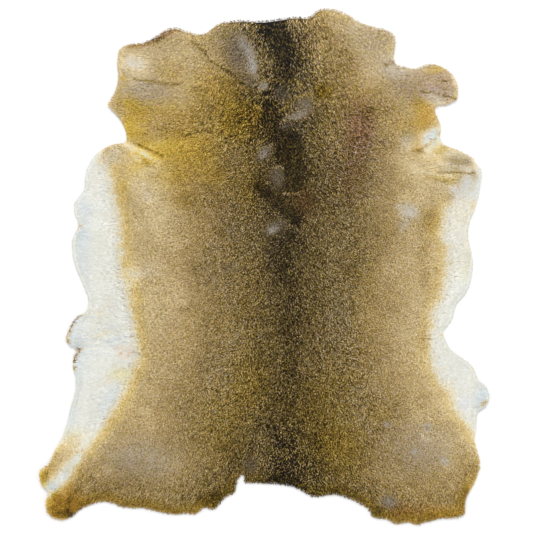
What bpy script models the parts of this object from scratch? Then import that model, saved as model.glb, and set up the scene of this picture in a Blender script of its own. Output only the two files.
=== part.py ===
"""A tanned reindeer hide with its coat on, laid flat with the hair up.

Metres, +Z up, neck towards +Y. The origin is on the floor under the middle of the hide's box. The hide is
one skin, so it is one solid: its rim reaches as far as the hair does, its top is the lumpy surface of the
coat, and its underside is the flesh side, flat on the floor but where the skin buckles or its edge curls.
"""

import bmesh
import bpy
import numpy as np
from mathutils import Vector
from mathutils.geometry import delaunay_2d_cdt, interpolate_bezier

MM = 0.001

# Depth of skin and coat together, and how far in from the rim the full depth is reached.
MIDDLE_DEPTH = 0.0125
FLANK_DEPTH = 0.0095
RIM_DEPTH = 0.0050
RIM_SLOPE = 0.055
FLANK_START = 0.30  # distance from the back line at which the coat starts to get shorter
FLANK_END = 0.43

# The rim is rounded: hair tips lie low and reach furthest, the skin's edge is drawn in under them.
RIM_INSET = 0.0032
TIP_HEIGHT = 0.0016

# Low swells of the coat: wave lengths along X and Y, and their height.
LUMPS = [
    {"length_x": 0.230, "length_y": 0.310, "phase": 0.4, "height": 0.0008},
    {"length_x": 0.141, "length_y": -0.187, "phase": 1.9, "height": 0.0006},
    {"length_x": -0.097, "length_y": 0.083, "phase": 3.1, "height": 0.0004},
]

# Spacing of the points that carry the surface.
RIM_STEP = 0.0065
GRID_STEP = 0.026
GRID_MARGIN = 0.015  # clear of the rim
FOLD_STEP = 0.016  # along a fold
FOLD_MARGIN = 0.008  # between points of different folds, and from them to the rim
FOLD_FOOT = 1.2  # a fold's feet lie this many half widths from its line
BEND_POINTS = 10
SAME_POINT = 1e-7

# Hair locks at the rim: every other rim point stands out by this share of the stretch's reach, between
# the least and the whole, as two waves of the point's number run in and out of step.
LOCK_LEAST = 0.1
LOCK_GAP = 0.25  # the points between them are drawn in by this share
LOCK_WAVES = (1.7, 0.37)

ROUND = "round"
CORNER = "corner"

# The rim, anticlockwise from the middle of the neck. One table for each stretch that a tanner would name,
# with the reach of the hair locks that stand out along it. Rows are landmarks of the cut edge in
# millimetres, x from the back line and y from mid-length; the edge bends evenly between them and breaks
# only at a corner.
OUTLINE_COLUMNS = ("x_mm", "y_mm", "kind")
OUTLINE = [
    {
        "stretch": "neck, left half",
        "lock_mm": 1.6,
        "rows": [
            (-5, 567, ROUND),
            (-64, 568, ROUND),
            (-108, 559, ROUND),
            (-126, 543, ROUND),
            (-147, 536, ROUND),
            (-175, 543, ROUND),
            (-205, 552, ROUND),
            (-230, 545, ROUND),
            (-247, 532, ROUND),
            (-278, 517, ROUND),
            (-331, 501, ROUND),
        ],
    },
    {
        "stretch": "left shoulder",
        "lock_mm": 0.8,
        "rows": [
            (-336, 482, ROUND),
            (-335, 429, ROUND),
            (-343, 401, ROUND),
            (-359, 374, CORNER),
            (-331, 342, ROUND),
            (-316, 307, ROUND),
            (-315, 286, CORNER),
        ],
    },
    {
        "stretch": "left flank, front",
        "lock_mm": 1.0,
        "rows": [
            (-354, 280, ROUND),
            (-389, 256, ROUND),
            (-407, 224, ROUND),
            (-416, 172, ROUND),
            (-435, 148, ROUND),
            (-431, 114, ROUND),
            (-422, 99, CORNER),
        ],
    },
    {
        "stretch": "left flank, rear",
        "lock_mm": 1.0,
        "rows": [
            (-438, 70, ROUND),
            (-435, 10, ROUND),
            (-412, -46, ROUND),
            (-402, -82, ROUND),
            (-412, -107, ROUND),
            (-430, -115, ROUND),
            (-446, -141, ROUND),
            (-453, -171, ROUND),
            (-446, -179, ROUND),
            (-419, -187, CORNER),
        ],
    },
    {
        "stretch": "left hind leg",
        "lock_mm": 1.4,
        "rows": [
            (-432, -196, ROUND),
            (-439, -222, ROUND),
            (-431, -261, ROUND),
            (-445, -330, ROUND),
            (-459, -381, ROUND),
            (-483, -427, ROUND),
            (-493, -450, ROUND),
            (-515, -469, ROUND),
            (-514, -492, ROUND),
            (-503, -509, ROUND),
            (-486, -516, CORNER),
        ],
    },
    {
        "stretch": "rump, left half",
        "lock_mm": 2.4,
        "rows": [
            (-499, -532, ROUND),
            (-496, -567, ROUND),
            (-462, -581, ROUND),
            (-414, -552, ROUND),
            (-361, -539, ROUND),
            (-324, -552, ROUND),
            (-278, -554, ROUND),
            (-239, -563, ROUND),
            (-198, -569, ROUND),
            (-177, -565, ROUND),
            (-159, -569, ROUND),
            (-137, -553, ROUND),
            (-120, -557, ROUND),
            (-87, -528, ROUND),
            (-69, -519, ROUND),
            (-62, -491, ROUND),
            (-46, -470, CORNER),
        ],
    },
    {
        "stretch": "rump, right half",
        "lock_mm": 2.4,
        "rows": [
            (-45, -495, CORNER),
            (-5, -497, ROUND),
            (46, -500, ROUND),
            (83, -511, ROUND),
            (108, -526, ROUND),
            (168, -523, ROUND),
            (212, -539, ROUND),
            (239, -555, ROUND),
            (255, -577, ROUND),
            (278, -578, ROUND),
            (308, -591, ROUND),
            (329, -586, ROUND),
            (350, -592, ROUND),
            (382, -584, ROUND),
            (416, -577, ROUND),
            (446, -575, ROUND),
            (463, -566, CORNER),
        ],
    },
    {
        "stretch": "right hind leg",
        "lock_mm": 1.0,
        "rows": [
            (463, -542, ROUND),
            (488, -489, ROUND),
            (497, -459, ROUND),
            (484, -393, ROUND),
            (488, -365, ROUND),
            (488, -333, CORNER),
        ],
    },
    {
        "stretch": "right flank, rear",
        "lock_mm": 1.2,
        "rows": [
            (509, -319, ROUND),
            (518, -298, ROUND),
            (511, -277, ROUND),
            (490, -258, ROUND),
            (485, -238, ROUND),
            (466, -217, ROUND),
            (442, -201, ROUND),
            (427, -189, ROUND),
            (419, -172, ROUND),
            (409, -148, CORNER),
        ],
    },
    {
        "stretch": "right flank, front",
        "lock_mm": 0.8,
        "rows": [
            (429, -125, ROUND),
            (444, -82, ROUND),
            (462, -62, ROUND),
            (480, -1, ROUND),
            (469, 91, ROUND),
            (490, 151, ROUND),
            (497, 192, ROUND),
            (496, 230, ROUND),
            (485, 237, CORNER),
        ],
    },
    {
        "stretch": "right foreleg",
        "lock_mm": 0.8,
        "rows": [
            (482, 251, CORNER),
            (445, 270, ROUND),
            (417, 281, ROUND),
            (404, 291, ROUND),
            (403, 301, ROUND),
            (407, 316, ROUND),
            (392, 367, ROUND),
            (392, 374, CORNER),
        ],
    },
    {
        "stretch": "right shoulder tab",
        "lock_mm": 1.0,
        "rows": [
            (425, 377, ROUND),
            (445, 389, CORNER),
            (446, 411, ROUND),
            (428, 449, ROUND),
            (382, 468, ROUND),
            (340, 456, ROUND),
            (320, 463, ROUND),
            (300, 465, CORNER),
        ],
    },
    {
        "stretch": "neck, right half",
        "lock_mm": 1.6,
        "rows": [
            (297, 484, ROUND),
            (302, 521, ROUND),
            (298, 536, ROUND),
            (280, 547, ROUND),
            (251, 554, ROUND),
            (223, 563, ROUND),
            (198, 579, ROUND),
            (175, 590, ROUND),
            (123, 591, ROUND),
            (108, 578, ROUND),
            (76, 577, ROUND),
        ],
    },
]

# Folds: straight runs in millimetres. A positive rise is a ridge where the skin itself buckles up off the
# floor, a negative one a crease in the coat alone, over a flat skin.
FOLD_COLUMNS = ("name", "x0_mm", "y0_mm", "x1_mm", "y1_mm", "rise_mm", "half_width_mm")
FOLDS = [
    ("left armpit crease", -306, 282, -240, 259, -3.0, 9),
    ("left armpit crease, inner end", -240, 259, -208, 236, -2.0, 10),
    ("left armpit ridge", -300, 262, -232, 238, 4.0, 15),
    ("left shoulder trough", -308, 428, -232, 424, -1.8, 15),
    ("neck crease, upper", -166, 521, -126, 478, -1.6, 10),
    ("neck crease, lower", -126, 478, -70, 440, -1.6, 10),
    ("right neck crease", 262, 458, 294, 466, -2.0, 9),
    ("right tab crease, root", 350, 402, 386, 376, -2.6, 9),
    ("right tab crease, middle", 366, 403, 396, 396, -2.0, 9),
    ("right armpit crease", 272, 296, 322, 294, -3.2, 10),
    ("right armpit ridge", 360, 266, 398, 290, 3.5, 15),
    ("right foreleg crease", 420, 216, 480, 219, -3.0, 9),
    ("right foreleg ridge", 404, 238, 468, 238, 3.0, 15),
    ("right belly crease", 390, -222, 424, -241, -2.0, 10),
    ("right belly nick", 384, -158, 402, -151, -1.8, 9),
    ("left belly crease", -408, -187, -330, -197, -2.0, 11),
    ("left belly nick", -412, 97, -372, 92, -1.6, 10),
]

# Places where the edge curls up off the floor, with the radius over which it settles back.
CURL_COLUMNS = ("name", "x_mm", "y_mm", "radius_mm", "rise_mm")
CURLS = [
    ("left shoulder point", -352, 384, 42, 5.0),
    ("neck, left front", -334, 500, 48, 4.0),
    ("neck, right front", 302, 524, 46, 4.5),
    ("right shoulder tab", 448, 404, 44, 5.0),
    ("right foreleg", 500, 214, 48, 4.5),
    ("right belly point", 520, -302, 44, 5.0),
    ("left belly", -452, -160, 46, 4.0),
    ("left leg point", -520, -484, 48, 5.5),
    ("left hock", -500, -562, 40, 4.0),
    ("right hock", 470, -570, 46, 4.0),
]
FLOOR_CUT = 0.0006  # a rise lower than this is pressed flat to the floor

# Where the brown of the back gives way to the white belly, down each flank: x at y.
BELLY_COLUMNS = ("y_mm", "x_mm")
BELLY_LEFT = [(270, -362), (190, -345), (100, -331), (0, -331), (-80, -306), (-210, -290), (-330, -340), (-520, -482)]
BELLY_RIGHT = [(230, 462), (150, 440), (30, 408), (-80, 398), (-180, 377), (-260, 400), (-330, 440), (-400, 490)]

COAT_BROWN = (0.235, 0.150, 0.062, 1.0)
BELLY_WHITE = (0.70, 0.665, 0.60, 1.0)
COAT_ROUGHNESS = 0.85


def clear_scene():
    for obj in list(bpy.data.objects):
        bpy.data.objects.remove(obj, do_unlink=True)


def named(rows, columns):
    """The rows of a table as dictionaries by column name."""
    return [dict(zip(columns, row)) for row in rows]


def landmarks():
    """The rim's landmarks in metres, with their kind and the reach of the locks there."""
    found = []
    for stretch in OUTLINE:
        for row in named(stretch["rows"], OUTLINE_COLUMNS):
            place = Vector((row["x_mm"] * MM, row["y_mm"] * MM))
            found.append({"place": place, "kind": row["kind"], "lock": stretch["lock_mm"] * MM})
    return found


def handle(marks, index, side):
    """The Bezier handle of a landmark on the side (+1 on, -1 back) that a bend leaves it by."""
    here = marks[index]["place"]
    near = marks[(index + side) % len(marks)]["place"]
    far = marks[(index - side) % len(marks)]["place"]
    reach = (near - here).length / 3
    if marks[index]["kind"] == CORNER:
        return here + (near - here) * (1 / 3)
    along = (near - here).normalized() * (far - here).length + (here - far).normalized() * (near - here).length
    return here + along.normalized() * reach


def rim_curve():
    """The rim as points RIM_STEP apart that keep every corner, anticlockwise, with the lock reach of each."""
    marks = landmarks()
    corners = [i for i, mark in enumerate(marks) if mark["kind"] == CORNER]
    points, locks = [], []
    for first, last in zip(corners, corners[1:] + [corners[0] + len(marks)]):
        dense = []
        for i in range(first, last):
            a, b = i % len(marks), (i + 1) % len(marks)
            ends = (marks[a]["place"], handle(marks, a, 1), handle(marks, b, -1), marks[b]["place"])
            bend = interpolate_bezier(*ends, BEND_POINTS)
            dense += [(p.x, p.y, marks[b]["lock"]) for p in bend[:-1]]
        end = marks[last % len(marks)]
        dense.append((end["place"].x, end["place"].y, end["lock"]))
        dense = np.array(dense)
        run = np.concatenate([[0], np.cumsum(np.hypot(*np.diff(dense[:, :2], axis=0).T))])
        at = np.linspace(0, run[-1], max(2, round(run[-1] / RIM_STEP)) + 1)[:-1]
        points.append(np.stack([np.interp(at, run, dense[:, 0]), np.interp(at, run, dense[:, 1])], axis=1))
        locks.append(np.interp(at, run, dense[:, 2]))
    points = np.concatenate(points)
    middle = (points.min(axis=0) + points.max(axis=0)) / 2
    return points - middle, np.concatenate(locks)


def outward(points):
    """Unit normals of an anticlockwise ring."""
    along = np.roll(points, -1, axis=0) - np.roll(points, 1, axis=0)
    normal = np.stack([along[:, 1], -along[:, 0]], axis=1)
    return normal / np.linalg.norm(normal, axis=1, keepdims=True)


def with_locks(points, locks):
    """The rim with a lock of hair standing out at every other point, of a length that wanders."""
    number = np.arange(len(points))
    waves = np.sin(number * LOCK_WAVES[0]) * np.sin(number * LOCK_WAVES[1])
    share = LOCK_LEAST + (1 - LOCK_LEAST) * (1 + waves) / 2
    reach = np.where(number % 2 == 0, locks * share, -locks * LOCK_GAP)
    return points + outward(points) * reach[:, None]


def inside(points, ring):
    """Whether each point lies in the ring, by counting the edges that a ray towards +X crosses."""
    x, y = points[:, :1], points[:, 1:]
    a, b = ring, np.roll(ring, -1, axis=0)
    spans = (a[:, 1] > y) != (b[:, 1] > y)
    rise = np.where(a[:, 1] == b[:, 1], 1, b[:, 1] - a[:, 1])
    crossing = a[:, 0] + (y - a[:, 1]) * (b[:, 0] - a[:, 0]) / rise
    return (spans & (x < crossing)).sum(axis=1) % 2 == 1


def segment_distance(points, start, end):
    """Distance of each point from the run between start and end."""
    along = end - start
    share = np.clip((points - start) @ along / (along @ along), 0, 1)
    return np.linalg.norm(points - start - share[:, None] * along, axis=1)


def rim_distance(points, ring):
    return np.min([segment_distance(points, a, b) for a, b in zip(ring, np.roll(ring, -1, axis=0))], axis=0)


def fold_runs():
    """Each fold with its ends, rise and half width in metres."""
    runs = []
    for row in named(FOLDS, FOLD_COLUMNS):
        runs.append(
            {
                "start": np.array([row["x0_mm"], row["y0_mm"]]) * MM,
                "end": np.array([row["x1_mm"], row["y1_mm"]]) * MM,
                "rise": row["rise_mm"] * MM,
                "half_width": row["half_width_mm"] * MM,
            }
        )
    return runs


def fold_points():
    """Rows of points along each fold and at its two feet, so that the mesh can bend there."""
    rows = []
    for run in fold_runs():
        along = run["end"] - run["start"]
        length = np.linalg.norm(along)
        across = np.array([-along[1], along[0]]) / length
        share = np.linspace(0, 1, max(2, round(length / FOLD_STEP) + 1))[:, None]
        for side in (-FOLD_FOOT, 0, FOLD_FOOT):
            rows.append(run["start"] + share * along + side * run["half_width"] * across)
    return np.concatenate(rows)


def hump(distance, half_width):
    """A soft bell that is 1 on the line and nearly 0 at twice its half width."""
    return np.exp(-((distance / half_width) ** 2))


def underside(points):
    """Height of the flesh side over the floor: 0 but at ridges and curled edges."""
    rise = np.zeros(len(points))
    for run in fold_runs():
        if run["rise"] > 0:
            rise += run["rise"] * hump(segment_distance(points, run["start"], run["end"]), run["half_width"])
    for row in named(CURLS, CURL_COLUMNS):
        away = np.linalg.norm(points - np.array([row["x_mm"], row["y_mm"]]) * MM, axis=1)
        rise += row["rise_mm"] * MM * hump(away, row["radius_mm"] * MM)
    return np.maximum(rise - FLOOR_CUT, 0)


def coat_depth(points, ring):
    """Skin and coat together: full over the back, less on the flanks, running out at the rim, with the
    swells and the creases."""
    flank = np.clip((np.abs(points[:, 0]) - FLANK_START) / (FLANK_END - FLANK_START), 0, 1)
    full = MIDDLE_DEPTH + (FLANK_DEPTH - MIDDLE_DEPTH) * flank
    share = np.clip(rim_distance(points, ring) / RIM_SLOPE, 0, 1)
    rounded = np.sqrt(share * (2 - share))
    depth = RIM_DEPTH + (full - RIM_DEPTH) * rounded
    for lump in LUMPS:
        turn = points[:, 0] / lump["length_x"] + points[:, 1] / lump["length_y"]
        depth += lump["height"] * rounded * np.sin(2 * np.pi * turn + lump["phase"])
    for run in fold_runs():
        if run["rise"] < 0:
            near = hump(segment_distance(points, run["start"], run["end"]), run["half_width"])
            depth += run["rise"] * near * rounded
    return depth


def inner_points(ring):
    """The points that carry the surface inside the rim: fold rows, then a staggered grid between them."""
    low, high = ring.min(axis=0), ring.max(axis=0)
    row_step = GRID_STEP * np.sqrt(3) / 2
    rows = np.arange(low[1], high[1], row_step)
    columns = np.arange(low[0], high[0], GRID_STEP)
    x, y = np.meshgrid(columns, rows)
    x = x + (np.arange(len(rows)) % 2)[:, None] * GRID_STEP / 2
    grid = np.stack([x.ravel(), y.ravel()], axis=1)
    folds = fold_points()
    folds = folds[inside(folds, ring)]
    folds = folds[rim_distance(folds, ring) > FOLD_MARGIN]
    folds = spaced(folds, FOLD_MARGIN)
    grid = grid[inside(grid, ring)]
    grid = grid[rim_distance(grid, ring) > GRID_MARGIN]
    to_folds = np.linalg.norm(grid[:, None] - folds[None], axis=2).min(axis=1)
    return np.concatenate([folds, grid[to_folds > GRID_STEP / 2]])


def spaced(points, apart):
    """The points in order, leaving out any that comes closer than this to one kept before it."""
    kept = []
    for point in points:
        if all(np.hypot(*(point - other)) >= apart for other in kept):
            kept.append(point)
    return np.array(kept)


def hide_mesh():
    """One closed body: top and underside on the same plan, joined round the rim over the row of hair tips."""
    smooth_ring, locks = rim_curve()
    ring = with_locks(smooth_ring, locks)
    edge = smooth_ring - outward(smooth_ring) * RIM_INSET
    count = len(ring)
    plan = np.concatenate([edge, inner_points(edge)])
    borders = [(i, (i + 1) % count) for i in range(count)]
    placed, _, faces, sources, _, _ = delaunay_2d_cdt([Vector(p) for p in plan], borders, [], 1, SAME_POINT)
    from_plan = {source: i for i, found in enumerate(sources) for source in found}
    plan = np.array([(p.x, p.y) for p in placed])
    low = underside(plan)
    high = low + coat_depth(plan, ring)
    tips = underside(ring) + TIP_HEIGHT

    bm = bmesh.new()
    top = [bm.verts.new((x, y, z)) for (x, y), z in zip(plan, high)]
    bottom = [bm.verts.new((x, y, z)) for (x, y), z in zip(plan, low)]
    rim = [bm.verts.new((x, y, z)) for (x, y), z in zip(ring, tips)]
    for face in faces:
        bm.faces.new([top[i] for i in face])
        bm.faces.new([bottom[i] for i in reversed(face)])
    for i, j in borders:
        a, b = from_plan[i], from_plan[j]
        bm.faces.new((top[b], top[a], rim[i], rim[j]))
        bm.faces.new((rim[j], rim[i], bottom[a], bottom[b]))
    bmesh.ops.recalc_face_normals(bm, faces=bm.faces)
    mesh = bpy.data.meshes.new("hide")
    bm.to_mesh(mesh)
    bm.free()
    return mesh


def coat_material(name, colour):
    material = bpy.data.materials.new(name)
    material.use_nodes = True
    shader = material.node_tree.nodes["Principled BSDF"]
    shader.inputs["Base Color"].default_value = colour
    shader.inputs["Roughness"].default_value = COAT_ROUGHNESS
    shader.inputs["Metallic"].default_value = 0.0
    return material


def beyond_belly_line(x, y, table, side):
    """Whether points lie outside the belly's edge on one side (-1 left, +1 right), which runs neck to rump."""
    rows = named(table, BELLY_COLUMNS)[::-1]
    ys = np.array([row["y_mm"] for row in rows]) * MM
    xs = np.array([row["x_mm"] for row in rows]) * MM
    return (side * x > side * np.interp(y, ys, xs)) & (y > ys[0]) & (y < ys[-1])


def colour_belly(mesh):
    """Gives the white material to the upper faces outside the belly's edge, on both flanks."""
    x, y, _ = np.array([face.center for face in mesh.polygons]).T
    upward = np.array([face.normal.z for face in mesh.polygons]) > 0
    white = beyond_belly_line(x, y, BELLY_LEFT, -1) | beyond_belly_line(x, y, BELLY_RIGHT, 1)
    for face, is_white in zip(mesh.polygons, upward & white):
        face.material_index = int(is_white)


def build_hide():
    mesh = hide_mesh()
    mesh.materials.append(coat_material("coat_brown", COAT_BROWN))
    mesh.materials.append(coat_material("belly_white", BELLY_WHITE))
    colour_belly(mesh)
    mesh.shade_smooth()
    hide = bpy.data.objects.new("hide", mesh)
    bpy.context.scene.collection.objects.link(hide)
    return hide


clear_scene()
build_hide()
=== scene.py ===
# A tanned hide laid flat with its hair up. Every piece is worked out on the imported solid's own plan,
# underside and top: a thin skin, a dense undercoat on it, and five bands of clumped hair.
import math

import bpy
import numpy as np
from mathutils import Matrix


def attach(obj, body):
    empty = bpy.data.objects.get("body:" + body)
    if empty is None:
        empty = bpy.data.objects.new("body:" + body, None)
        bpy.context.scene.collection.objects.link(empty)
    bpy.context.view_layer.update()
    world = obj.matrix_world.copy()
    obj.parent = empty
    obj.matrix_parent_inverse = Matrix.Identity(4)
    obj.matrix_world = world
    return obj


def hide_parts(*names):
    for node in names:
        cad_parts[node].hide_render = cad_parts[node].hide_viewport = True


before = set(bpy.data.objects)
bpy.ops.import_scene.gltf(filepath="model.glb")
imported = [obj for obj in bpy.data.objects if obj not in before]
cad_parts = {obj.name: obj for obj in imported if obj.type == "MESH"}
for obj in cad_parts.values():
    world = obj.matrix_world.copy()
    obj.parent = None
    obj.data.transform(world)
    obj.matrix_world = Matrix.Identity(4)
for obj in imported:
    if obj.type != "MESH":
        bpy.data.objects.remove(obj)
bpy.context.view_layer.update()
mm = 0.001
chance = np.random.default_rng(11)

plan = {
    "cell": 4.0 * mm,                   # of the maps below
    "margin": 36.0 * mm,                # of the maps past the hide
    "lattice": 12,                      # places along a triangle's side when a height map is filled
    "spread": 9,                        # cells that a height map is carried on past the rim
    "flecks": 2,                        # to a cell, each way, for the locks of hair
    "fleckSeed": 12,
    "skinDepth": 1.6 * mm,
    "leastCoat": 0.6 * mm,
}


def smoothStep(low, high, value):
    # 0 below low, 1 above high, and 3t² - 2t³ between
    t = np.clip((value - low) / (high - low), 0.0, 1.0)
    return t * t * (3.0 - 2.0 * t)


def swell(x, y, size, seed, waves=7):
    # the sum of a few sine waves in seeded directions, each near the given wavelength, of spread about 1
    pick = np.random.default_rng(seed)
    total = np.zeros_like(x)
    for turn, phase, stretch in zip(pick.uniform(0, math.pi, waves), pick.uniform(0, 2 * math.pi, waves),
                                    pick.uniform(0.7, 1.4, waves)):
        far = x * math.cos(turn) + y * math.sin(turn)
        total += np.sin(2 * math.pi * far / (size * stretch) + phase)
    return total / math.sqrt(waves / 2)


def paint(red, green, blue):
    # a screen colour, 0 to 255, as the linear colour that a shader takes
    screen = np.array([red, green, blue]) / 255.0
    linear = np.where(screen <= 0.04045, screen / 12.92, ((screen + 0.055) / 1.055) ** 2.4)
    return (*[float(value) for value in linear], 1.0)


def readSolid(node):
    # the solid's points, each once, and its triangles
    mesh = node.data
    flat = np.empty(len(mesh.vertices) * 3, np.float32)
    mesh.vertices.foreach_get("co", flat)
    corners = np.empty(len(mesh.loops), np.int32)
    mesh.loops.foreach_get("vertex_index", corners)
    points, where = np.unique(flat.reshape(-1, 3), axis=0, return_inverse=True)
    return points.astype(float), where.ravel()[corners].reshape(-1, 3)


def sidesOf(triangles):
    return np.concatenate([triangles[:, [0, 1]], triangles[:, [1, 2]], triangles[:, [2, 0]]])


def edgeSides(sides):
    # the sides that only one triangle has
    low, high = np.sort(sides, axis=1).T
    _, first, count = np.unique(low * (sides.max() + 1) + high, return_index=True, return_counts=True)
    return sides[first[count == 1]]


def splitSolid(points, triangles):
    # upper triangles face up and lower ones down; the rim's tips are the points that both share; the body
    # is the underside within the tips, turned face up
    a, b, c = (points[triangles[:, k]] for k in range(3))
    up = np.cross(b - a, c - a)[:, 2] > 0
    upper, lower = triangles[up], triangles[~up]
    tips = np.intersect1d(upper, lower)
    sides = sidesOf(upper)
    ring = edgeSides(sides[np.isin(sides, tips).all(axis=1)])
    body = lower[~np.isin(lower, tips).any(axis=1)][:, ::-1]
    return upper, lower, ring, body


def heightMap(p, points, triangles, xs, ys):
    # mean height of an even lattice of places on each triangle, cell by cell, then carried on outwards
    steps = np.arange(p["lattice"] + 1) / p["lattice"]
    u, v = np.meshgrid(steps, steps)
    keep = u + v <= 1.0 + 1e-9
    shares = np.stack([u[keep], v[keep], 1.0 - u[keep] - v[keep]], axis=1)
    spots = np.einsum("lc,tck->tlk", shares, points[triangles]).reshape(-1, 3)
    column = np.rint((spots[:, 0] - xs[0]) / p["cell"]).astype(int)
    row = np.rint((spots[:, 1] - ys[0]) / p["cell"]).astype(int)
    place = row * xs.size + column
    count = np.bincount(place, minlength=xs.size * ys.size).reshape(ys.size, xs.size).astype(float)
    total = np.bincount(place, spots[:, 2], minlength=xs.size * ys.size).reshape(ys.size, xs.size)
    for _ in range(p["spread"]):
        mean = total / np.maximum(count, 1)
        known = (count > 0).astype(float)
        near = sum(np.roll(known, shift, axis) for axis in (0, 1) for shift in (-1, 1))
        around = sum(np.roll(known * mean, shift, axis) for axis in (0, 1) for shift in (-1, 1))
        edge = (count == 0) & (near > 0)
        total[edge] = (around / np.maximum(near, 1))[edge]
        count[edge] = 1
    return total / np.maximum(count, 1)


def rimMap(points, ring, xs, ys):
    # distance to the nearest side of the rim, positive inside: a place is inside where a line to its left
    # crosses the rim an odd number of times
    start, end = points[ring[:, 0], :2], points[ring[:, 1], :2]
    run = end - start
    span = (run ** 2).sum(axis=1)
    out = np.empty((ys.size, xs.size))
    for row, y in enumerate(ys):
        dx = xs[:, None] - start[:, 0]
        dy = y - start[:, 1]
        t = np.clip((dx * run[:, 0] + dy * run[:, 1]) / span, 0, 1)
        far = np.hypot(dx - t * run[:, 0], dy - t * run[:, 1]).min(axis=1)
        crossed = (start[:, 1] > y) != (end[:, 1] > y)
        cuts = np.sort(start[crossed, 0] + (y - start[crossed, 1]) / run[crossed, 1] * run[crossed, 0])
        inside = np.searchsorted(cuts, xs) % 2 == 1
        out[row] = np.where(inside, far, -far)
    return out


def makeMaps(p, points, upper, lower, ring):
    low, high = points.min(axis=0) - p["margin"], points.max(axis=0) + p["margin"]
    xs, ys = np.arange(low[0], high[0], p["cell"]), np.arange(low[1], high[1], p["cell"])
    maps = {"x": xs, "y": ys, "cell": p["cell"]}
    maps["top"] = heightMap(p, points, upper, xs, ys)
    maps["under"] = heightMap(p, points, lower, xs, ys)
    maps["rim"] = rimMap(points, ring, xs, ys)
    maps["rimY"], maps["rimX"] = np.gradient(maps["rim"], p["cell"])
    maps["lieX"], maps["lieY"] = combing(maps, *np.meshgrid(xs, ys))
    zones = coatZones(maps, *np.meshgrid(xs, ys))
    maps["place"], maps["grey"] = zones["place"], zones["grey"]
    maps["flecks"] = p["flecks"]
    pick = np.random.default_rng(p["fleckSeed"])
    maps["fleck"] = pick.standard_normal((ys.size * p["flecks"], xs.size * p["flecks"]))
    return maps


def read(maps, name, x, y):
    # a map's value at any places, straight between its four nearest cells
    grid = maps[name]
    u = np.clip((x - maps["x"][0]) / maps["cell"], 0, grid.shape[1] - 1.001)
    v = np.clip((y - maps["y"][0]) / maps["cell"], 0, grid.shape[0] - 1.001)
    i, j = u.astype(int), v.astype(int)
    u, v = u - i, v - j
    near = grid[j, i] * (1 - u) + grid[j, i + 1] * u
    far = grid[j + 1, i] * (1 - u) + grid[j + 1, i + 1] * u
    return near * (1 - v) + far * v


# Place on the coat runs with its lightness: 0 near black on the back line, 0.3 brown back, 0.65 tan flank,
# 0.8 ochre, 0.9 cream, 1 white belly. Tables and patches are in millimetres.
backLine = (
    # y, x, half width, darkness of the stripe
    (571, 16, 22, 0.8), (521, 36, 24, 0.9), (475, 50, 24, 0.8), (429, 46, 30, 0.1), (383, 20, 34, 0.1),
    (337, 17, 32, 0.35), (291, 42, 26, 0.8), (245, 60, 24, 0.85), (199, 64, 24, 0.8),
    (153, 46, 26, 0.6), (107, 57, 24, 0.3), (61, 55, 24, 0.4), (15, 46, 26, 0.5), (-54, 57, 22, 0.15),
    (-123, 60, 22, 0.2), (-261, 62, 22, 0.15), (-399, 62, 24, 0.25), (-491, 67, 24, 0.4),
)
backTone = (
    # distance from the back line, place on the coat
    (0, 0.115), (46, 0.18), (80, 0.255), (115, 0.31), (150, 0.37), (184, 0.43), (218, 0.5), (253, 0.57),
    (288, 0.64), (322, 0.675), (356, 0.7),
)
backReach = (
    # y, stretch of that table to the left, to the right
    (555, 0.66, 0.55), (498, 0.72, 0.64), (429, 0.75, 0.74), (360, 0.84, 1.12), (291, 0.86, 1.08),
    (222, 0.98, 1.08), (84, 1.02, 1), (-54, 0.96, 0.95), (-123, 0.94, 0.87), (-261, 1.1, 0.99),
    (-330, 1.24, 1.08), (-468, 1.27, 1.15),
)
flankTone = (
    # y, the lightest place reached on the left, on the right
    (520, 0.7, 0.68), (429, 0.64, 0.6), (360, 0.56, 0.6), (300, 0.66, 0.64), (222, 0.73, 0.73),
    (153, 0.7, 0.64), (84, 0.71, 0.6), (15, 0.71, 0.62), (-54, 0.7, 0.66), (-123, 0.7, 0.67),
    (-261, 0.61, 0.6), (-400, 0.58, 0.61), (-468, 0.55, 0.54), (-537, 0.4, 0.4),
)

bellyLeft = (
    # y, x of the line where the tan ends
    (290, -385), (260, -366), (233, -359), (187, -348), (141, -335), (84, -328), (10, -327),
    (-20, -328), (-45, -313), (-66, -309), (-78, -303), (-90, -307), (-110, -301), (-150, -297),
    (-170, -290), (-195, -290), (-215, -287), (-243, -299), (-284, -318), (-319, -336), (-350, -355),
    (-372, -371), (-406, -401), (-434, -421), (-468, -444), (-497, -460), (-515, -478), (-525, -496),
)
bellyRight = (
    # y, x of the line where the tan ends
    (212, 456), (176, 432), (141, 421), (118, 412), (95, 405), (72, 400), (50, 415), (8, 419),
    (-20, 415), (-43, 406), (-72, 400), (-105, 383), (-135, 384), (-171, 375), (-220, 382), (-261, 401),
    (-300, 432), (-344, 446), (-362, 465), (-395, 485), (-420, 510),
)
bellyTone = (
    # distance past that line, place on the coat
    (-60, 0), (-40, 0.63), (-25, 0.69), (-14, 0.73), (-5, 0.8), (3, 0.88), (12, 0.945), (24, 0.98),
    (50, 1),
)

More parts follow.
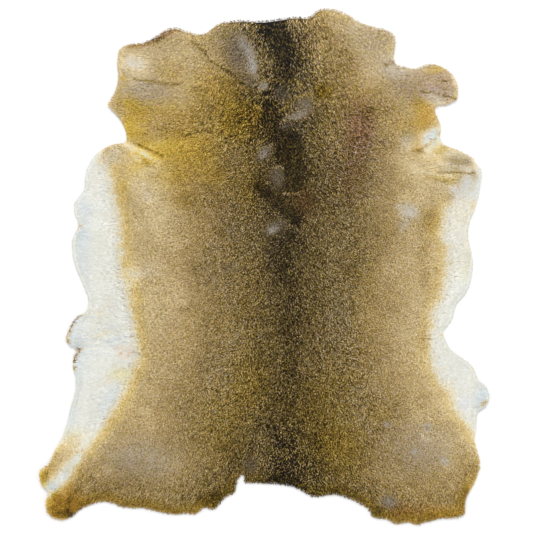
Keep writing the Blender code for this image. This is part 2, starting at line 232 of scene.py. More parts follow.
coatPatches = {
    # kind: rows of amount in hundredths, x, y, half width, half length, and a turn in degrees from +Y
    # towards -X where there is one, from the neck to the rump
    "tone": (                           # lighter and darker spots of the coat
        # neck
        (-8, 179, 571, 18, 12), (-5, -10, 565, 14, 14), (5, 172, 562, 50, 26), (-8, 4, 556, 18, 14),
        (-2.5, 20, 545, 330, 50), (-6, 24, 545, 30, 20, 30), (-16, 30, 530, 22, 34),
        (-6, 40, 528, 16, 40, 20), (-5, 240, 525, 80, 60), (-12, -234, 520, 44, 24), (1, 96, 516, 16, 18),
        (9, 124, 510, 22, 24), (6, -64, 508, 20, 24), (-7, 30, 480, 22, 14), (-10, 93, 476, 16, 16),
        (10, 125, 476, 14, 16), (-7, 44, 470, 12, 22), (20, -290, 465, 34, 24), (5, -96, 461, 30, 26),
        (-5, -13, 461, 14, 16), (8, 310, 461, 40, 28), (6, 234, 455, 34, 30), (10, 39, 453, 10, 9),
        (-7, -190, 450, 44, 26), (-8, -302, 447, 26, 10), (-10, 60, 443, 14, 14), (8, 8, 438, 12, 9),
        (8, -289, 433, 30, 17), (-8, -96, 433, 16, 14), (-7, 26, 424, 26, 9), (10, 436, 424, 9, 26),
        (-8, -151, 405, 16, 14), (-7, 262, 405, 18, 16), (-4, 317, 405, 40, 20), (-8, 427, 405, 20, 20),
        (-7, 128, 404, 20, 14), (-5, 345, 403, 22, 18), (-2.2, 10, 402, 300, 76),
        # shoulders and front legs
        (-8, -48, 398, 18, 14), (13, 386, 392, 18, 15), (9, 423, 392, 12, 10), (-13, 350, 379, 18, 14),
        (6, -179, 378, 18, 16), (15, 402, 378, 14, 9), (-8, 260, 365, 52, 34), (-6, -50, 360, 16, 30),
        (2, -26, 352, 26, 20), (-6, 69, 350, 14, 14), (-5, 228, 345, 34, 30), (-3, -190, 335, 58, 22),
        (-9, 76, 330, 18, 14), (-8, 330, 325, 36, 20), (-8, 13, 323, 16, 16), (4, 69, 323, 14, 14),
        (-9, 372, 323, 14, 12), (8, -276, 318, 26, 10), (-12, -240, 312, 60, 17, -6), (-6, 60, 308, 14, 16),
        (-9, -289, 299, 28, 17), (-12, 14, 299, 14, 12), (36, 386, 299, 24, 34, -46),
        (-8, 195, 295, 34, 26), (-5, 226, 290, 22, 30), (-8, -266, 286, 20, 9, 20),
        (5, 328, 284, 22, 9, 30), (-8, 286, 282, 20, 16), (7, 331, 280, 12, 12), (-3, 400, 272, 22, 14, 10),
        (5, -345, 267, 20, 14), (-5, 400, 267, 16, 14), (-6, -292, 264, 18, 9, 20), (-10, 462, 264, 12, 8),
        (-7, -366, 262, 12, 14), (5, 151, 262, 30, 28), (5, 305, 262, 34, 26), (9, 404, 260, 44, 14, 6),
        (-6, -357, 258, 12, 16), (8, -285, 258, 44, 16, 28), (-17, 468, 246, 16, 12, 20),
        (8, -350, 244, 16, 10), (-3, -250, 244, 34, 10, 28), (-10, -372, 240, 14, 14),
        (9, -124, 240, 24, 16), (-8, 455, 240, 22, 14), (-6, -204, 236, 16, 16), (-9, 455, 236, 30, 22),
        (6, 340, 226, 20, 14), (14, 350, 226, 50, 64), (-9, 472, 226, 14, 10), (-5, 20, 225, 90, 84),
        (7, -257, 224, 26, 10), (-3, 382, 216, 18, 10), (8, 427, 214, 20, 10), (9, -112, 212, 36, 18),
        (-9, -13, 212, 14, 16), (-4, 69, 212, 14, 20), (-8, 234, 212, 40, 30), (7, 262, 212, 24, 20),
        (-5, 482, 212, 12, 12), (3.5, -80, 210, 44, 60), (-12, 482, 210, 12, 12), (-5, 420, 203, 30, 9),
        (-8, -188, 202, 24, 16), (-8, 480, 200, 10, 30), (10, -285, 190, 24, 46), (-5, 215, 190, 34, 50),
        (-9, 456, 188, 30, 34), (3, -234, 185, 22, 20), (4, 431, 170, 14, 14), (9, -262, 157, 14, 14),
        (5, 69, 157, 20, 16), (9, 317, 157, 20, 16), (-9, 427, 157, 14, 12), (-8, 206, 150, 30, 30),
        # back and flanks
        (-5, 455, 140, 30, 40), (-14, 480, 140, 8, 14), (2, 334, 130, 24, 18, -30), (8, -206, 129, 24, 18),
        (-7, 234, 129, 22, 16), (-8, 385, 120, 20, 26), (7, -243, 110, 26, 62), (-10, 382, 104, 20, 22),
        (-40, -423, 91, 5, 7), (5.5, -190, 85, 40, 40), (-5, 455, 75, 34, 66), (5, -69, 74, 26, 28),
        (8, -206, 47, 24, 22), (-7, 13, 47, 16, 18), (-1.2, 37, 20, 84, 440), (-8, 124, 19, 22, 22),
        (-7, 205, 18, 40, 62), (-12, 380, 8, 28, 64), (6, -262, -8, 22, 18), (6, 285, -8, 48, 22),
        (10, -298, -12, 22, 17), (10, -300, -28, 20, 22), (5, 400, -35, 14, 16), (-10, 399, -55, 14, 18),
        (5, -195, -60, 26, 40), (-6, 69, -63, 14, 30), (5.5, -160, -65, 36, 24),
        (-5, -370, -112, 44, 8, 60), (6, -317, -118, 12, 14), (-5, 52, -120, 14, 40),
        (-4.5, -360, -142, 50, 7, 65), (7, -309, -151, 14, 16), (-20, 409, -157, 5, 6),
        (-10, 366, -158, 14, 18), (5.5, -62, -165, 42, 76), (-5, 372, -173, 16, 20),
        # haunches, hind legs and rump
        (5, 234, -201, 20, 18), (-5, 41, -228, 14, 26), (-6, 69, -228, 13, 44), (-25, 488, -232, 9, 6),
        (5, 192, -256, 26, 14), (-5, 427, -284, 14, 24), (-10, 372, -311, 16, 18), (6, 427, -311, 16, 20),
        (-35, 503, -312, 12, 8, 30), (6, 270, -328, 14, 12), (-6, -432, -382, 22, 14),
        (-8, -440, -410, 20, 34, -30), (-5, -55, -410, 52, 52), (-5, 24, -410, 18, 110),
        (6, -450, -414, 14, 14, -40), (-5, 455, -422, 24, 24), (9, -424, -442, 10, 16, -30),
        (-8, -478, -448, 14, 22, -40), (-31, -480, -449, 27, 62, -40), (-9, -69, -449, 22, 20),
        (-8, 117, -450, 20, 40), (-8, -492, -452, 18, 30), (5, -205, -452, 30, 36),
        (-7, -400, -455, 26, 26), (-18, 486, -466, 22, 36), (-10, -414, -472, 20, 18, -40),
        (8, -438, -473, 10, 16, -40), (6, 275, -475, 42, 30), (5, -455, -477, 14, 18, -40),
        (-5, 41, -477, 24, 26), (-10, -427, -482, 20, 18), (-26, -508, -486, 14, 24, -30),
        (-6, -404, -490, 30, 14), (-6, -110, -500, 76, 40), (-9, -427, -504, 22, 16),
        (5, 151, -504, 44, 24), (13, -413, -505, 16, 14), (-11, -446, -508, 22, 12, -30),
        (12, -488, -509, 20, 10, -40), (-9, -380, -510, 44, 20), (6, -484, -512, 14, 10),
        (-6, 215, -520, 76, 32), (-8, -482, -530, 16, 12), (10, -427, -532, 18, 12),
        (-7, -151, -532, 20, 14), (-15, -124, -534, 26, 20), (-17, -462, -545, 46, 34),
        (-10, -478, -546, 12, 14), (-8, -455, -548, 28, 26), (13, -440, -549, 14, 14),
        (13, -438, -554, 12, 14), (-9, 262, -560, 22, 14), (-15, 317, -560, 18, 14), (9, 412, -560, 36, 16),
        (-14, -490, -562, 18, 16), (-7, -485, -566, 20, 14), (-8, -459, -568, 14, 10),
        (-18, -466, -572, 24, 9),
    ),
    "golden": (                         # ticks of gold: left shoulder, loins, rump, rims of neck and legs
        (20, 287, 507, 14, 12), (70, 396, 454, 28, 9, 14), (25, -214, 448, 26, 34), (50, -105, 415, 60, 36),
        (80, 133, 406, 14, 18), (60, -309, 379, 24, 16), (30, 350, 379, 20, 16), (45, -200, 360, 90, 30),
        (30, -20, 355, 26, 20), (90, 370, 350, 28, 34), (100, -55, 341, 62, 60), (75, -290, 338, 34, 44),
        (45, 330, 322, 36, 20), (70, -312, 320, 14, 26), (40, -289, 297, 30, 20), (45, 349, 288, 14, 26),
        (60, -276, 276, 30, 12, 20), (40, 402, 276, 22, 16), (95, -175, 268, 85, 62),
        (-30, -345, 267, 18, 14), (50, -292, 262, 24, 10, 20), (25, 391, 258, 34, 14),
        (90, -262, 252, 58, 18, 28), (-30, -372, 240, 16, 14), (40, -289, 212, 24, 20),
        (40, 415, 206, 26, 8), (40, -115, 205, 40, 24), (40, -188, 202, 30, 20), (35, -232, 195, 34, 28),
        (25, -95, 190, 46, 60), (55, -32, 190, 28, 76), (50, -317, 185, 12, 24), (45, -179, 157, 38, 28),
        (30, 234, 129, 24, 18), (40, 384, 104, 20, 30), (40, 455, -10, 14, 24), (22, 225, -60, 34, 200),
        (30, -35, -70, 34, 100), (25, -96, -130, 34, 50), (50, -330, -246, 24, 18),
        (50, -317, -256, 16, 18), (30, 192, -256, 30, 20), (60, -32, -261, 46, 84), (40, 262, -335, 30, 24),
        (50, 129, -340, 84, 100), (50, -101, -360, 66, 84), (40, -420, -390, 30, 22),
        (55, 175, -430, 66, 64), (-50, -436, -436, 26, 50, -40), (30, -486, -448, 24, 70, -40),
        (-40, -455, -477, 20, 20, -40), (50, -508, -486, 16, 24, -30), (-60, -478, -500, 30, 26),
        (50, -446, -510, 30, 16, -30), (50, -124, -534, 26, 20), (100, -460, -554, 44, 34),
        (30, -472, -560, 34, 26), (50, 375, -562, 90, 18),
    ),
    "dull": (                           # greyer hair: neck, right tab, front right leg, haunches
        (40, -72, 534, 44, 20), (40, -96, 530, 30, 30), (55, 250, 525, 90, 70), (40, -234, 520, 46, 30),
        (80, 36, 520, 42, 62), (55, -55, 512, 80, 62), (30, -300, 468, 60, 40), (40, -13, 461, 16, 18),
        (30, 289, 461, 24, 20), (60, 66, 452, 34, 40), (60, 300, 452, 36, 28), (50, 20, 424, 36, 14),
        (60, 372, 424, 86, 42), (50, -13, 405, 18, 16), (30, 427, 405, 18, 16), (90, -268, 402, 58, 30),
        (70, 48, 402, 22, 24), (50, -48, 400, 20, 18), (45, 340, 400, 62, 26), (30, 88, 395, 24, 40),
        (50, 386, 392, 20, 16), (50, 423, 392, 14, 12), (30, -179, 378, 22, 18), (50, 402, 378, 18, 12),
        (40, 96, 352, 34, 44), (70, 74, 322, 22, 18), (50, 60, 308, 18, 18), (60, 332, 304, 22, 20),
        (40, 328, 284, 26, 14, 30), (40, -345, 262, 20, 18), (50, 440, 262, 30, 12, 10),
        (30, -357, 258, 14, 18), (60, -350, 246, 18, 14), (85, 452, 246, 32, 16), (50, 440, 228, 34, 14),
        (50, 480, 212, 14, 16), (50, 440, 190, 40, 40), (30, -255, 185, 30, 30), (40, 431, 170, 20, 20),
        (80, 334, 128, 22, 15, -30), (80, -423, 91, 7, 9), (45, 40, 55, 42, 60), (40, -262, -8, 24, 20),
        (35, 175, -100, 46, 34), (50, -428, -118, 11, 8), (40, -431, -200, 8, 20, -40),
        (30, 455, -311, 16, 16), (85, 347, -422, 85, 62), (95, -274, -445, 98, 52),
    ),
    "mauve": (                          # rubbed right shoulder, neck and right tab
        (30, 96, 516, 20, 20), (30, 390, 420, 60, 36), (40, 374, 350, 24, 32), (50, -25, 340, 18, 34),
        (55, 221, 340, 34, 60), (60, 215, 290, 40, 60), (55, 200, 200, 32, 46), (70, 94, 147, 26, 32),
        (25, -450, -540, 52, 36), (30, 375, -562, 90, 18),
    ),
    "pink": (                           # flushed hair
        (20, 349, 288, 12, 24), (20, 90, 148, 24, 26), (22, -314, -193, 24, 14), (20, 234, -201, 24, 22),
        (30, -452, -550, 50, 34), (30, 317, -560, 24, 16), (20, 330, -560, 60, 16),
    ),
    # the blue patches are painted cool shade at the white's rim, on the belly and on the left hind leg's
    # strip
    "blue": (                           # cold white of the belly's rim and of the left hind leg's strip
        (60, 392, 306, 18, 24, -40), (60, 470, 190, 26, 34), (50, -410, 60, 18, 120),
        (60, -430, -210, 26, 70), (50, -352, -300, 12, 44, -30), (90, 500, -300, 22, 30),
        (50, -440, -330, 14, 60), (60, -452, -470, 14, 60, -38), (90, -488, -506, 14, 14),
        (90, -488, -508, 20, 14, -40),
    ),
    "calm": (                           # smoother hair, with less ticking
        (50, 380, 420, 80, 46), (40, -290, 400, 60, 90), (50, 370, 340, 50, 60),
        (80, -270, 262, 80, 30, 25), (90, 410, 250, 100, 66), (70, 92, 148, 30, 30),
        (80, -460, -545, 46, 40),
    ),
}

healedMarks = (
    # x, y, half width, half length, turn, place that the coat is brought to, share of grey
    (-58, 486, 27, 50, 12, 0.40, 0.7),         # long mark left of the stripe
    (-42, 507, 14, 29, 30, 0.66, 0.9),
    (-27, 464, 12, 33, 5, 0.70, 1.0),
    (-33, 428, 12, 15, 0, 0.30, 0.7),
    (0, 417, 12, 12, 0, 0.62, 0.9),            # small mark with a black edge under it
    (5, 400, 11, 5, 10, -0.08, 0.0),
    (40, 398, 18, 20, 0, 0.18, 0.6),
    (14, 350, 16, 23, 12, -0.22, 0.0),         # black patch
    (93, 374, 20, 17, 0, 0.40, 0.8),           # curled mark right of the stripe
    (78, 349, 10, 30, -72, 0.56, 0.9),
    (52, 322, 19, 9, 20, 0.17, 0.7),
    (82, 291, 9, 24, 0, 0.13, 0.6),
    (1, 261, 15, 27, -40, 0.50, 0.8),          # three round marks below one another
    (-3, 260, 8, 14, -38, 0.66, 0.9),
    (30, 203, 20, 26, 0, 0.34, 0.8),
    (30, 208, 12, 17, -20, 0.50, 0.85),
    (68, 226, 20, 54, 0, -0.26, 0.0),          # black stripe past the shoulder
    (54, 285, 28, 28, -30, -0.16, 0.0),
    (26, 91, 15, 29, -65, 0.38, 0.75),
    (20, 87, 10, 20, -65, 0.68, 0.9),
    (-32, -456, 17, 19, 0, 0.26, 0.7),          # marks of the rump and the left side
    (287, -541, 20, 16, 0, 0.60, 0.95),
    (281, -362, 10, 8, 0, 0.66, 0.75),
    (375, -367, 10, 9, 0, 0.68, 0.75),
    (346, -424, 8, 6, 0, 0.74, 0.8),
    (414, -447, 14, 9, -30, 0.72, 0.7),
    (330, 126, 24, 16, 0, 0.80, 0.5),          # pale three-cornered mark of the right flank
    (318, 138, 20, 8, 0, 0.76, 0.5),
    (322, 100, 12, 20, -20, 0.72, 0.5),
    (-83, -3, 20, 15, 0, 0.34, 0.4),
)

coatLines = {
    # kind: rows of amount in hundredths, half width, then the x, y of the line's points
    "tone": (                           # creases, edges, streaks and scratches
        # below the second round mark, then a painted highlight along that raised mark's upper edge
        (-32, 10, -14, 187, 14, 160, 53, 130, 72, 108), (45, 3, 44, 168, 60, 167, 80, 169),
        (55, 3, 20, 228, 38, 231, 50, 223, 57, 210),
        # gold ticks over the curled mark
        (12, 3, -2, 430, 30, 428, 62, 432, 84, 422), (12, 3, 37, 358, 58, 380, 80, 392, 108, 396),
        (-10, 3, 128, 404, 146, 402),
        # crease of the neck: painted crease shade, with the darker roots of its parting
        (-28, 3, -166, 521, -140, 500, -124, 475, -67, 440), (-10, 3.5, -67, 440, -40, 415, -20, 380),
        # left armpit: painted crease shade along its folds, with the darker roots of their partings, and a
        # painted highlight on the ridge between them
        (-42, 2.5, -286, 280, -258, 268, -232, 256), (-10, 3, -318, 292, -286, 280),
        (17, 8, -318, 282, -292, 266, -262, 250, -242, 242), (-24, 2.5, -290, 262, -262, 240),
        # left neck flap: painted crease shade, with the darker roots of the partings
        (-26, 3, -296, 431, -262, 427, -228, 423, -190, 420), (-6, 5, -320, 452, -318, 430, -330, 405),
        (-20, 3, -185, 300, -150, 312, -120, 310),
        # front right leg: painted crease shade, with the darker roots of the partings
        (-30, 3, 400, 218, 423, 218, 455, 216, 480, 215), (-20, 3, 365, 262, 340, 268),
        # right armpit: painted crease shade, with the darker roots of the parting
        (-35, 3, 354, 268, 372, 280, 388, 292, 404, 308),
        # right tab: painted crease shade, with the darker roots of the partings; the last two rows are
        # faint painted shade along folds of the left belly's white
        (-34, 3, 276, 465, 288, 470, 302, 472), (-28, 3, 362, 404, 380, 402, 398, 397),
        (-32, 2.5, 410, 394, 426, 390, 440, 386), (-26, 2.5, 398, 430, 420, 428),
        (-7, 3, 300, 430, 270, 420, 260, 400), (-3, 2.5, -433, -179, -404, -169, -373, -165, -347, -169),
        (-3, 2.5, -420, -186, -389, -181, -350, -171, -312, -163),
        # cream ridges
        (-5, 4, -404, -91, -381, -100, -354, -116), (-6, 5, -389, -162, -366, -152, -343, -146, -312, -150),
        (-7, 12, -322, -236, -340, -248, -356, -262),
        # stained rim
        (-60, 2.5, -419, -111, -433, -120, -444, -139, -451, -160, -451, -176),
        (-45, 3.5, -416, -110, -428, -116), (-75, 3.5, -420, -192, -432, -206, -438, -220),
        (-60, 3, -438, -232, -432, -240), (-25, 2, -446, -308, -436, -318),
        # brown fringe of the left neck
        (-26, 8, -304, 508, -277, 514, -246, 524, -212, 544, -180, 552),
        # streaks of the front right leg
        (8, 6, 400, 240, 440, 233, 470, 226), (-10, 6, 418, 248, 455, 240, 490, 232),
        (-10, 4, 372, 206, 410, 198, 440, 192), (7, 4, 360, 218, 400, 212, 430, 208),
        # scratches of the right haunch, then a soft row and dark hairs of the left flank
        (16, 2, 361, -385, 377, -397), (10, 2, 404, -450, 424, -468), (-14, 2, 330, -418, 342, -426),
        (2, 6, -352, -275, -362, -320, -372, -360), (-10, 1.6, -330, -203, -321, -196),
        (-7, 1.6, -336, -187, -320, -179), (-8, 1.6, -315, -204, -300, -196),
        (-5, 1.6, -347, -208, -332, -205),
    ),
    "golden": (                         # over the curled mark, at the left flap, on the right foreleg
        (80, 4, -2, 430, 30, 428, 62, 432, 84, 422), (80, 4, 37, 358, 58, 380, 80, 392, 108, 396),
        (80, 12, 128, 404, 146, 404), (90, 4, -330, 433, -322, 437, -316, 430),
        (20, 6, 372, 206, 410, 198, 440, 192),
    ),
    "dull": (                           # stained rim
        (60, 3, -419, -111, -433, -120, -444, -139, -451, -160, -451, -176),
        (50, 3, -420, -192, -432, -206, -436, -240),
    ),
    "mauve": (                          # fringe of the left neck
        (50, 8, -304, 508, -277, 514, -246, 524, -212, 544),
    ),
    "pink": (                           # flushed hair by the left hip
        (100, 1.6, -330, -203, -321, -196), (60, 1.6, -336, -187, -320, -179),
        (80, 1.6, -315, -204, -300, -196), (50, 1.6, -324, -213, -314, -209),
    ),
    # the blue lines are painted cool shade in the fine folds of the white and in the partings at its rim
    "blue": (                           # fine folds of the white, and partings at its rim
        (55, 2, -442, -129, -416, -125, -385, -127, -360, -134),
        (55, 2, -446, -146, -416, -140, -381, -144, -350, -140, -326, -150),
        (60, 2, -447, -163, -419, -158, -389, -155),
        (60, 2.5, -433, -179, -404, -169, -373, -165, -347, -169, -316, -160),
        (60, 2.5, -420, -186, -389, -181, -350, -171, -312, -163),
        (55, 2.5, -412, -200, -381, -192, -343, -180, -312, -172),
        (45, 2, -400, -208, -362, -198, -335, -186),
        (45, 2, -438, -118, -400, -112, -362, -123, -331, -142), (60, 2, -430, 146, -405, 139, -388, 138),
        (60, 2, -430, 134, -406, 131, -384, 132), (60, 2, -430, 122, -408, 123, -390, 121),
        (50, 2, -436, 74, -420, 79, -402, 80), (50, 2, -438, 58, -422, 64, -404, 66),
        (50, 2, -438, 38, -424, 46, -408, 48), (40, 2, -404, 236, -384, 234, -366, 230),
    ),
}


def along(table, at, column=1):
    # straight between a table's rows, whose first column runs up or down
    rows = np.array(table, float)
    rows = rows[np.argsort(rows[:, 0])]
    return np.interp(at / mm, rows[:, 0], rows[:, column])


def ellipse(x, y, cx, cy, halfWidth, halfLength, turn=0):
    # exp(-r³), with r the ellipse's own radius
    c, s = math.cos(math.radians(turn)), math.sin(math.radians(turn))
    dx, dy = x - cx * mm, y - cy * mm
    across, down = dx * c + dy * s, dy * c - dx * s
    return np.exp(-np.hypot(across / (halfWidth * mm), down / (halfLength * mm)) ** 3)


def patchWeights(kind, x, y):
    # the sum over the patches of one kind of amount times its ellipse
    total = np.zeros_like(x)
    for amount, *shape in coatPatches[kind]:
        total += amount / 100 * ellipse(x, y, *shape)
    return total


def lineWeights(kind, x, y):
    # the sum over the lines of one kind of amount · exp(-d²), with d the distance in half widths
    total = np.zeros_like(x)
    for amount, halfWidth, *spots in coatLines.get(kind, ()):
        far = np.full_like(x, np.inf)
        for ax, ay, bx, by in zip(spots[0::2], spots[1::2], spots[2::2], spots[3::2]):
            runX, runY = (bx - ax) * mm, (by - ay) * mm
            dx, dy = x - ax * mm, y - ay * mm
            t = np.clip((dx * runX + dy * runY) / (runX ** 2 + runY ** 2), 0, 1)
            far = np.minimum(far, np.hypot(dx - t * runX, dy - t * runY))
        total += amount / 100 * np.exp(-(far / (halfWidth * mm)) ** 2)
    return total


coatShades = {
    # a wave is its length and its height
    "raggedLong": (34 * mm, 2.2 * mm),  # of the edges between tones
    "raggedShort": (11 * mm, 1.6 * mm),
    "raggedBack": 1.5,                  # times both, for the back and its stripe
    "sides": 20 * mm,                   # each way from the back line, over which left turns into right
    "stripeWander": (60 * mm, 6 * mm),
    "stripeRuns": (26 * mm, 0.35),
    "stripeMost": 0.95,
    "brownWave": (95 * mm, 0.012),
    "whiteWave": (7 * mm, 0.012),       # combed out along x
    "whiteStretch": 0.1,
    "white": (0.86, 0.97),              # places between which the coat turns white
    # the white's rim gets painted cool shade, darker and bluer near the rim and fading inwards
    "rimBand": (3 * mm, 24 * mm),       # distances from the rim over which its cold edge fades
    "rimWave": (50 * mm, 4 * mm),
    "rimShadeDarker": 0.07,
    "rimShadeBlue": 0.45,
    "rumpBand": (8 * mm, 34 * mm),      # the same for the rump's dark golden rim
    "rumpFrom": (-450 * mm, -510 * mm),
    "rumpDarker": 0.08,
    "rumpGold": 0.7,
    "rumpCalm": 0.5,
    "tanGold": 0.3,                     # along the line where the tan ends
    "tanGoldLeft": 0.2,                 # more on the left
    "tanMiddle": 14 * mm,               # inside that line
    "tanWidth": 13 * mm,
    "paleGold": (0.64, 0.86),           # places over which gold is paler
    "paleGoldLoss": 0.6,
    "aside": (50 * mm, 120 * mm),       # distances from the back line over which it gets calm
    "neckCalm": (0.65, 240 * mm, 400 * mm),
    "haunchCalm": (0.35, -330 * mm, -430 * mm),
    "greyCalm": 0.8,
    "dullCalm": 0.25,
}


def wave(x, y, lengthAndHeight, seed):
    length, height = lengthAndHeight
    return height * swell(x, y, length, seed)


def coatZones(maps, x, y):
    # place = back table at the distance from the back line, less the stripe, or the belly table if lighter,
    # plus the patches and lines, then brought to each healed mark's own by its ellipse; gold along the
    # belly's edge and the rump's rim, and painted cool shade, darker and bluer, at the belly's rim
    p = coatShades
    ragged = wave(x, y, p["raggedLong"], 3) + wave(x, y, p["raggedShort"], 4)
    rim = read(maps, "rim", x, y)
    off = x - along(backLine, y) * mm
    left = smoothStep(p["sides"], -p["sides"], off)
    reach = along(backReach, y, 2) * (1 - left) + along(backReach, y) * left
    place = along(backTone, np.abs(off + ragged * p["raggedBack"]) / reach)
    place = np.minimum(place, along(flankTone, y, 2) * (1 - left) + along(flankTone, y) * left)
    wander = wave(x, y, p["stripeWander"], 6) + ragged * p["raggedBack"]
    stripe = np.exp(-((off + wander) / (along(backLine, y, 2) * mm)) ** 2)
    stripe = stripe * along(backLine, y, 3) * (1 + wave(x, y, p["stripeRuns"], 7))
    place = place * (1 - np.clip(stripe, 0, p["stripeMost"]))
    past = np.maximum(along(bellyLeft, y) * mm - x, x - along(bellyRight, y) * mm) + ragged
    place = np.maximum(place, along(bellyTone, past))
    place = place + patchWeights("tone", x, y) + lineWeights("tone", x, y)
    grey = np.zeros_like(x)
    for cx, cy, halfWidth, halfLength, turn, brought, share in healedMarks:
        weight = ellipse(x, y, cx, cy, halfWidth, halfLength, turn)
        place = place + (brought - place) * weight
        grey = grey + (share - grey) * weight
    white = smoothStep(*p["white"], place)
    place = place + (1 - white) * wave(x, y, p["brownWave"], 5)
    place = place + white * wave(p["whiteStretch"] * x, y, p["whiteWave"], 8)
    # edge: painted cool shade along the white's rim, strongest at the rim and fading inwards
    edge = 1 - smoothStep(*p["rimBand"], rim + wave(x, y, p["rimWave"], 9))
    rump = (1 - smoothStep(*p["rumpBand"], rim)) * smoothStep(*p["rumpFrom"], y)
    place = place - p["rimShadeDarker"] * edge * white - p["rumpDarker"] * rump
    zones = {"place": np.clip(place, -0.1, 1)}
    for kind in ("golden", "dull", "mauve", "blue", "pink", "calm"):
        zones[kind] = patchWeights(kind, x, y) + lineWeights(kind, x, y)
    tan = np.exp(-((past + p["tanMiddle"]) / p["tanWidth"]) ** 2)
    zones["golden"] += (p["tanGold"] + p["tanGoldLeft"] * left) * tan + p["rumpGold"] * rump
    zones["golden"] *= 1 - p["paleGoldLoss"] * smoothStep(*p["paleGold"], place)
    # the bluer part of the rim's painted cool shade
    zones["blue"] += p["rimShadeBlue"] * edge * white
    zones["grey"] = grey
    aside = smoothStep(*p["aside"], np.abs(off))
    for share, start, end in (p["neckCalm"], p["haunchCalm"]):
        zones["calm"] += share * aside * smoothStep(start, end, y)
    zones["calm"] += p["greyCalm"] * grey + p["dullCalm"] * zones["dull"] + p["rumpCalm"] * rump
    return {kind: np.clip(value, 0, 1) for kind, value in zones.items()}


combTurn = (
    # distance from the back line, degrees that the hair turns out from straight back
    (0, 6), (60, 20), (150, 36), (250, 54), (330, 74), (400, 86),
)
combScale = (
    # y, share of that turn on the left, on the right
    (600, 0.8, 0.7), (480, 0.95, 0.9), (330, 1.15, 0.95), (180, 1.15, 1), (0, 0.95, 0.95),
    (-250, 0.85, 0.85), (-380, 0.6, 0.6), (-600, 0.35, 0.35),
)
combWaves = {
    "broad": (120 * mm, np.radians(11)),
    "fine": (38 * mm, np.radians(7)),
    "out": 0.8,                         # share that the hair near the rim turns straight out
    "rimBand": (3 * mm, 16 * mm),       # distances from the rim over which it fades
    "outward": (-0.1, 0.6),             # how far the hair points out there already
}


def combing(maps, x, y):
    # straight back, turned out over the flanks with slow waves, and out over the rim where the hair already
    # points out, close to it
    off = x - along(backLine, y) * mm
    share = np.where(off < 0, along(combScale, y), along(combScale, y, 2))
    turn = np.radians(along(combTurn, np.abs(off)) * share) * np.sign(off)
    turn = turn + wave(x, y, combWaves["broad"], 21) + wave(x, y, combWaves["fine"], 22)
    dx, dy = np.sin(turn), -np.cos(turn)
    outX, outY = -read(maps, "rimX", x, y), -read(maps, "rimY", x, y)
    near = combWaves["out"] * (1 - smoothStep(*combWaves["rimBand"], read(maps, "rim", x, y)))
    near = near * smoothStep(*combWaves["outward"], dx * outX + dy * outY)
    dx = dx * (1 - near) + outX * near
    dy = dy * (1 - near) + outY * near
    size = np.maximum(np.hypot(dx, dy), 1e-6)
    return dx / size, dy / size


def lie(maps, x, y):
    return read(maps, "lieX", x, y), read(maps, "lieY", x, y)


def streaks(maps, x, y, steps, reach):
    # locks of hair: the sum of a fleck map read at even steps up and down the lie of the hair, over the
    # root of their number, so its spread is about 1
    flecks = maps["fleck"]
    total = np.zeros_like(x)
    for way in (-1, 1):
        px, py = x.copy(), y.copy()
        for _ in range(steps):
            row, column = (np.rint((at - maps[axis][0]) / maps["cell"] * maps["flecks"]).astype(int)
                           for at, axis in ((py, "y"), (px, "x")))
            total += flecks[row.clip(0, flecks.shape[0] - 1), column.clip(0, flecks.shape[1] - 1)]
            dx, dy = lie(maps, px, py)
            px, py = px + way * reach * dx, py + way * reach * dy
    return total / math.sqrt(2 * steps)


def inScene(name, data):
    made = bpy.data.objects.new(name, data)
    bpy.context.scene.collection.objects.link(made)
    return made


def makeMesh(name, points, triangles, material):
    mesh = bpy.data.meshes.new(name)
    mesh.vertices.add(len(points))
    mesh.vertices.foreach_set("co", points.astype(np.float32).ravel())
    mesh.loops.add(triangles.size)
    mesh.loops.foreach_set("vertex_index", triangles.astype(np.int32).ravel())
    mesh.polygons.add(len(triangles))
    mesh.polygons.foreach_set("loop_start", np.arange(0, triangles.size, 3, dtype=np.int32))
    mesh.polygons.foreach_set("use_smooth", np.ones(len(triangles), bool))
    mesh.update(calc_edges=True)
    mesh.materials.append(material)
    piece = inScene(name, mesh)
    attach(piece, "root")
    return piece


def giveColours(mesh, name, *channels):
    # up to four numbers for each point, kept as one colour attribute
    values = np.zeros((len(mesh.vertices), 4), np.float32)
    for column, channel in enumerate(channels):
        values[:, column] = channel
    mesh.attributes.new(name, "FLOAT_COLOR", "POINT").data.foreach_set("color", values.ravel())


def halve(points, triangles):
    # every triangle becomes four, with one shared point at the middle of each side
    unique, where = np.unique(np.sort(sidesOf(triangles), axis=1), axis=0, return_inverse=True)
    ab, bc, ca = len(points) + where.reshape(3, -1)
    a, b, c = triangles.T
    middles = (points[unique[:, 0]] + points[unique[:, 1]]) / 2
    parts = [np.stack(corners, axis=1) for corners in ((a, ab, ca), (ab, b, bc), (ca, bc, c), (ab, bc, ca))]
    return np.vstack([points, middles]), np.concatenate(parts)


def closeShell(flat, triangles, lower, upper):
    # two sheets on one plan, joined by a wall along the plan's own edge
    points = np.vstack([np.column_stack([flat, upper]), np.column_stack([flat, lower])])
    below = len(flat)
    a, b = edgeSides(sidesOf(triangles)).T
    wall = [np.stack([a + below, b + below, b], axis=1), np.stack([a + below, b, a], axis=1)]
    return points, np.concatenate([triangles, triangles[:, ::-1] + below, *wall])


def node(tree, kind, settings=None, inputs=None):
    made = tree.nodes.new(kind)
    for key, value in (settings or {}).items():
        setattr(made, key, value)
    for key, value in (inputs or {}).items():
        if isinstance(value, bpy.types.NodeSocket):
            tree.links.new(value, made.inputs[key])
        else:
            made.inputs[key].default_value = value
    return made


def calc(tree, operation, *values, clamp=False):
    settings = {"operation": operation, "use_clamp": clamp}
    return node(tree, "ShaderNodeMath", settings, dict(enumerate(values))).outputs[0]


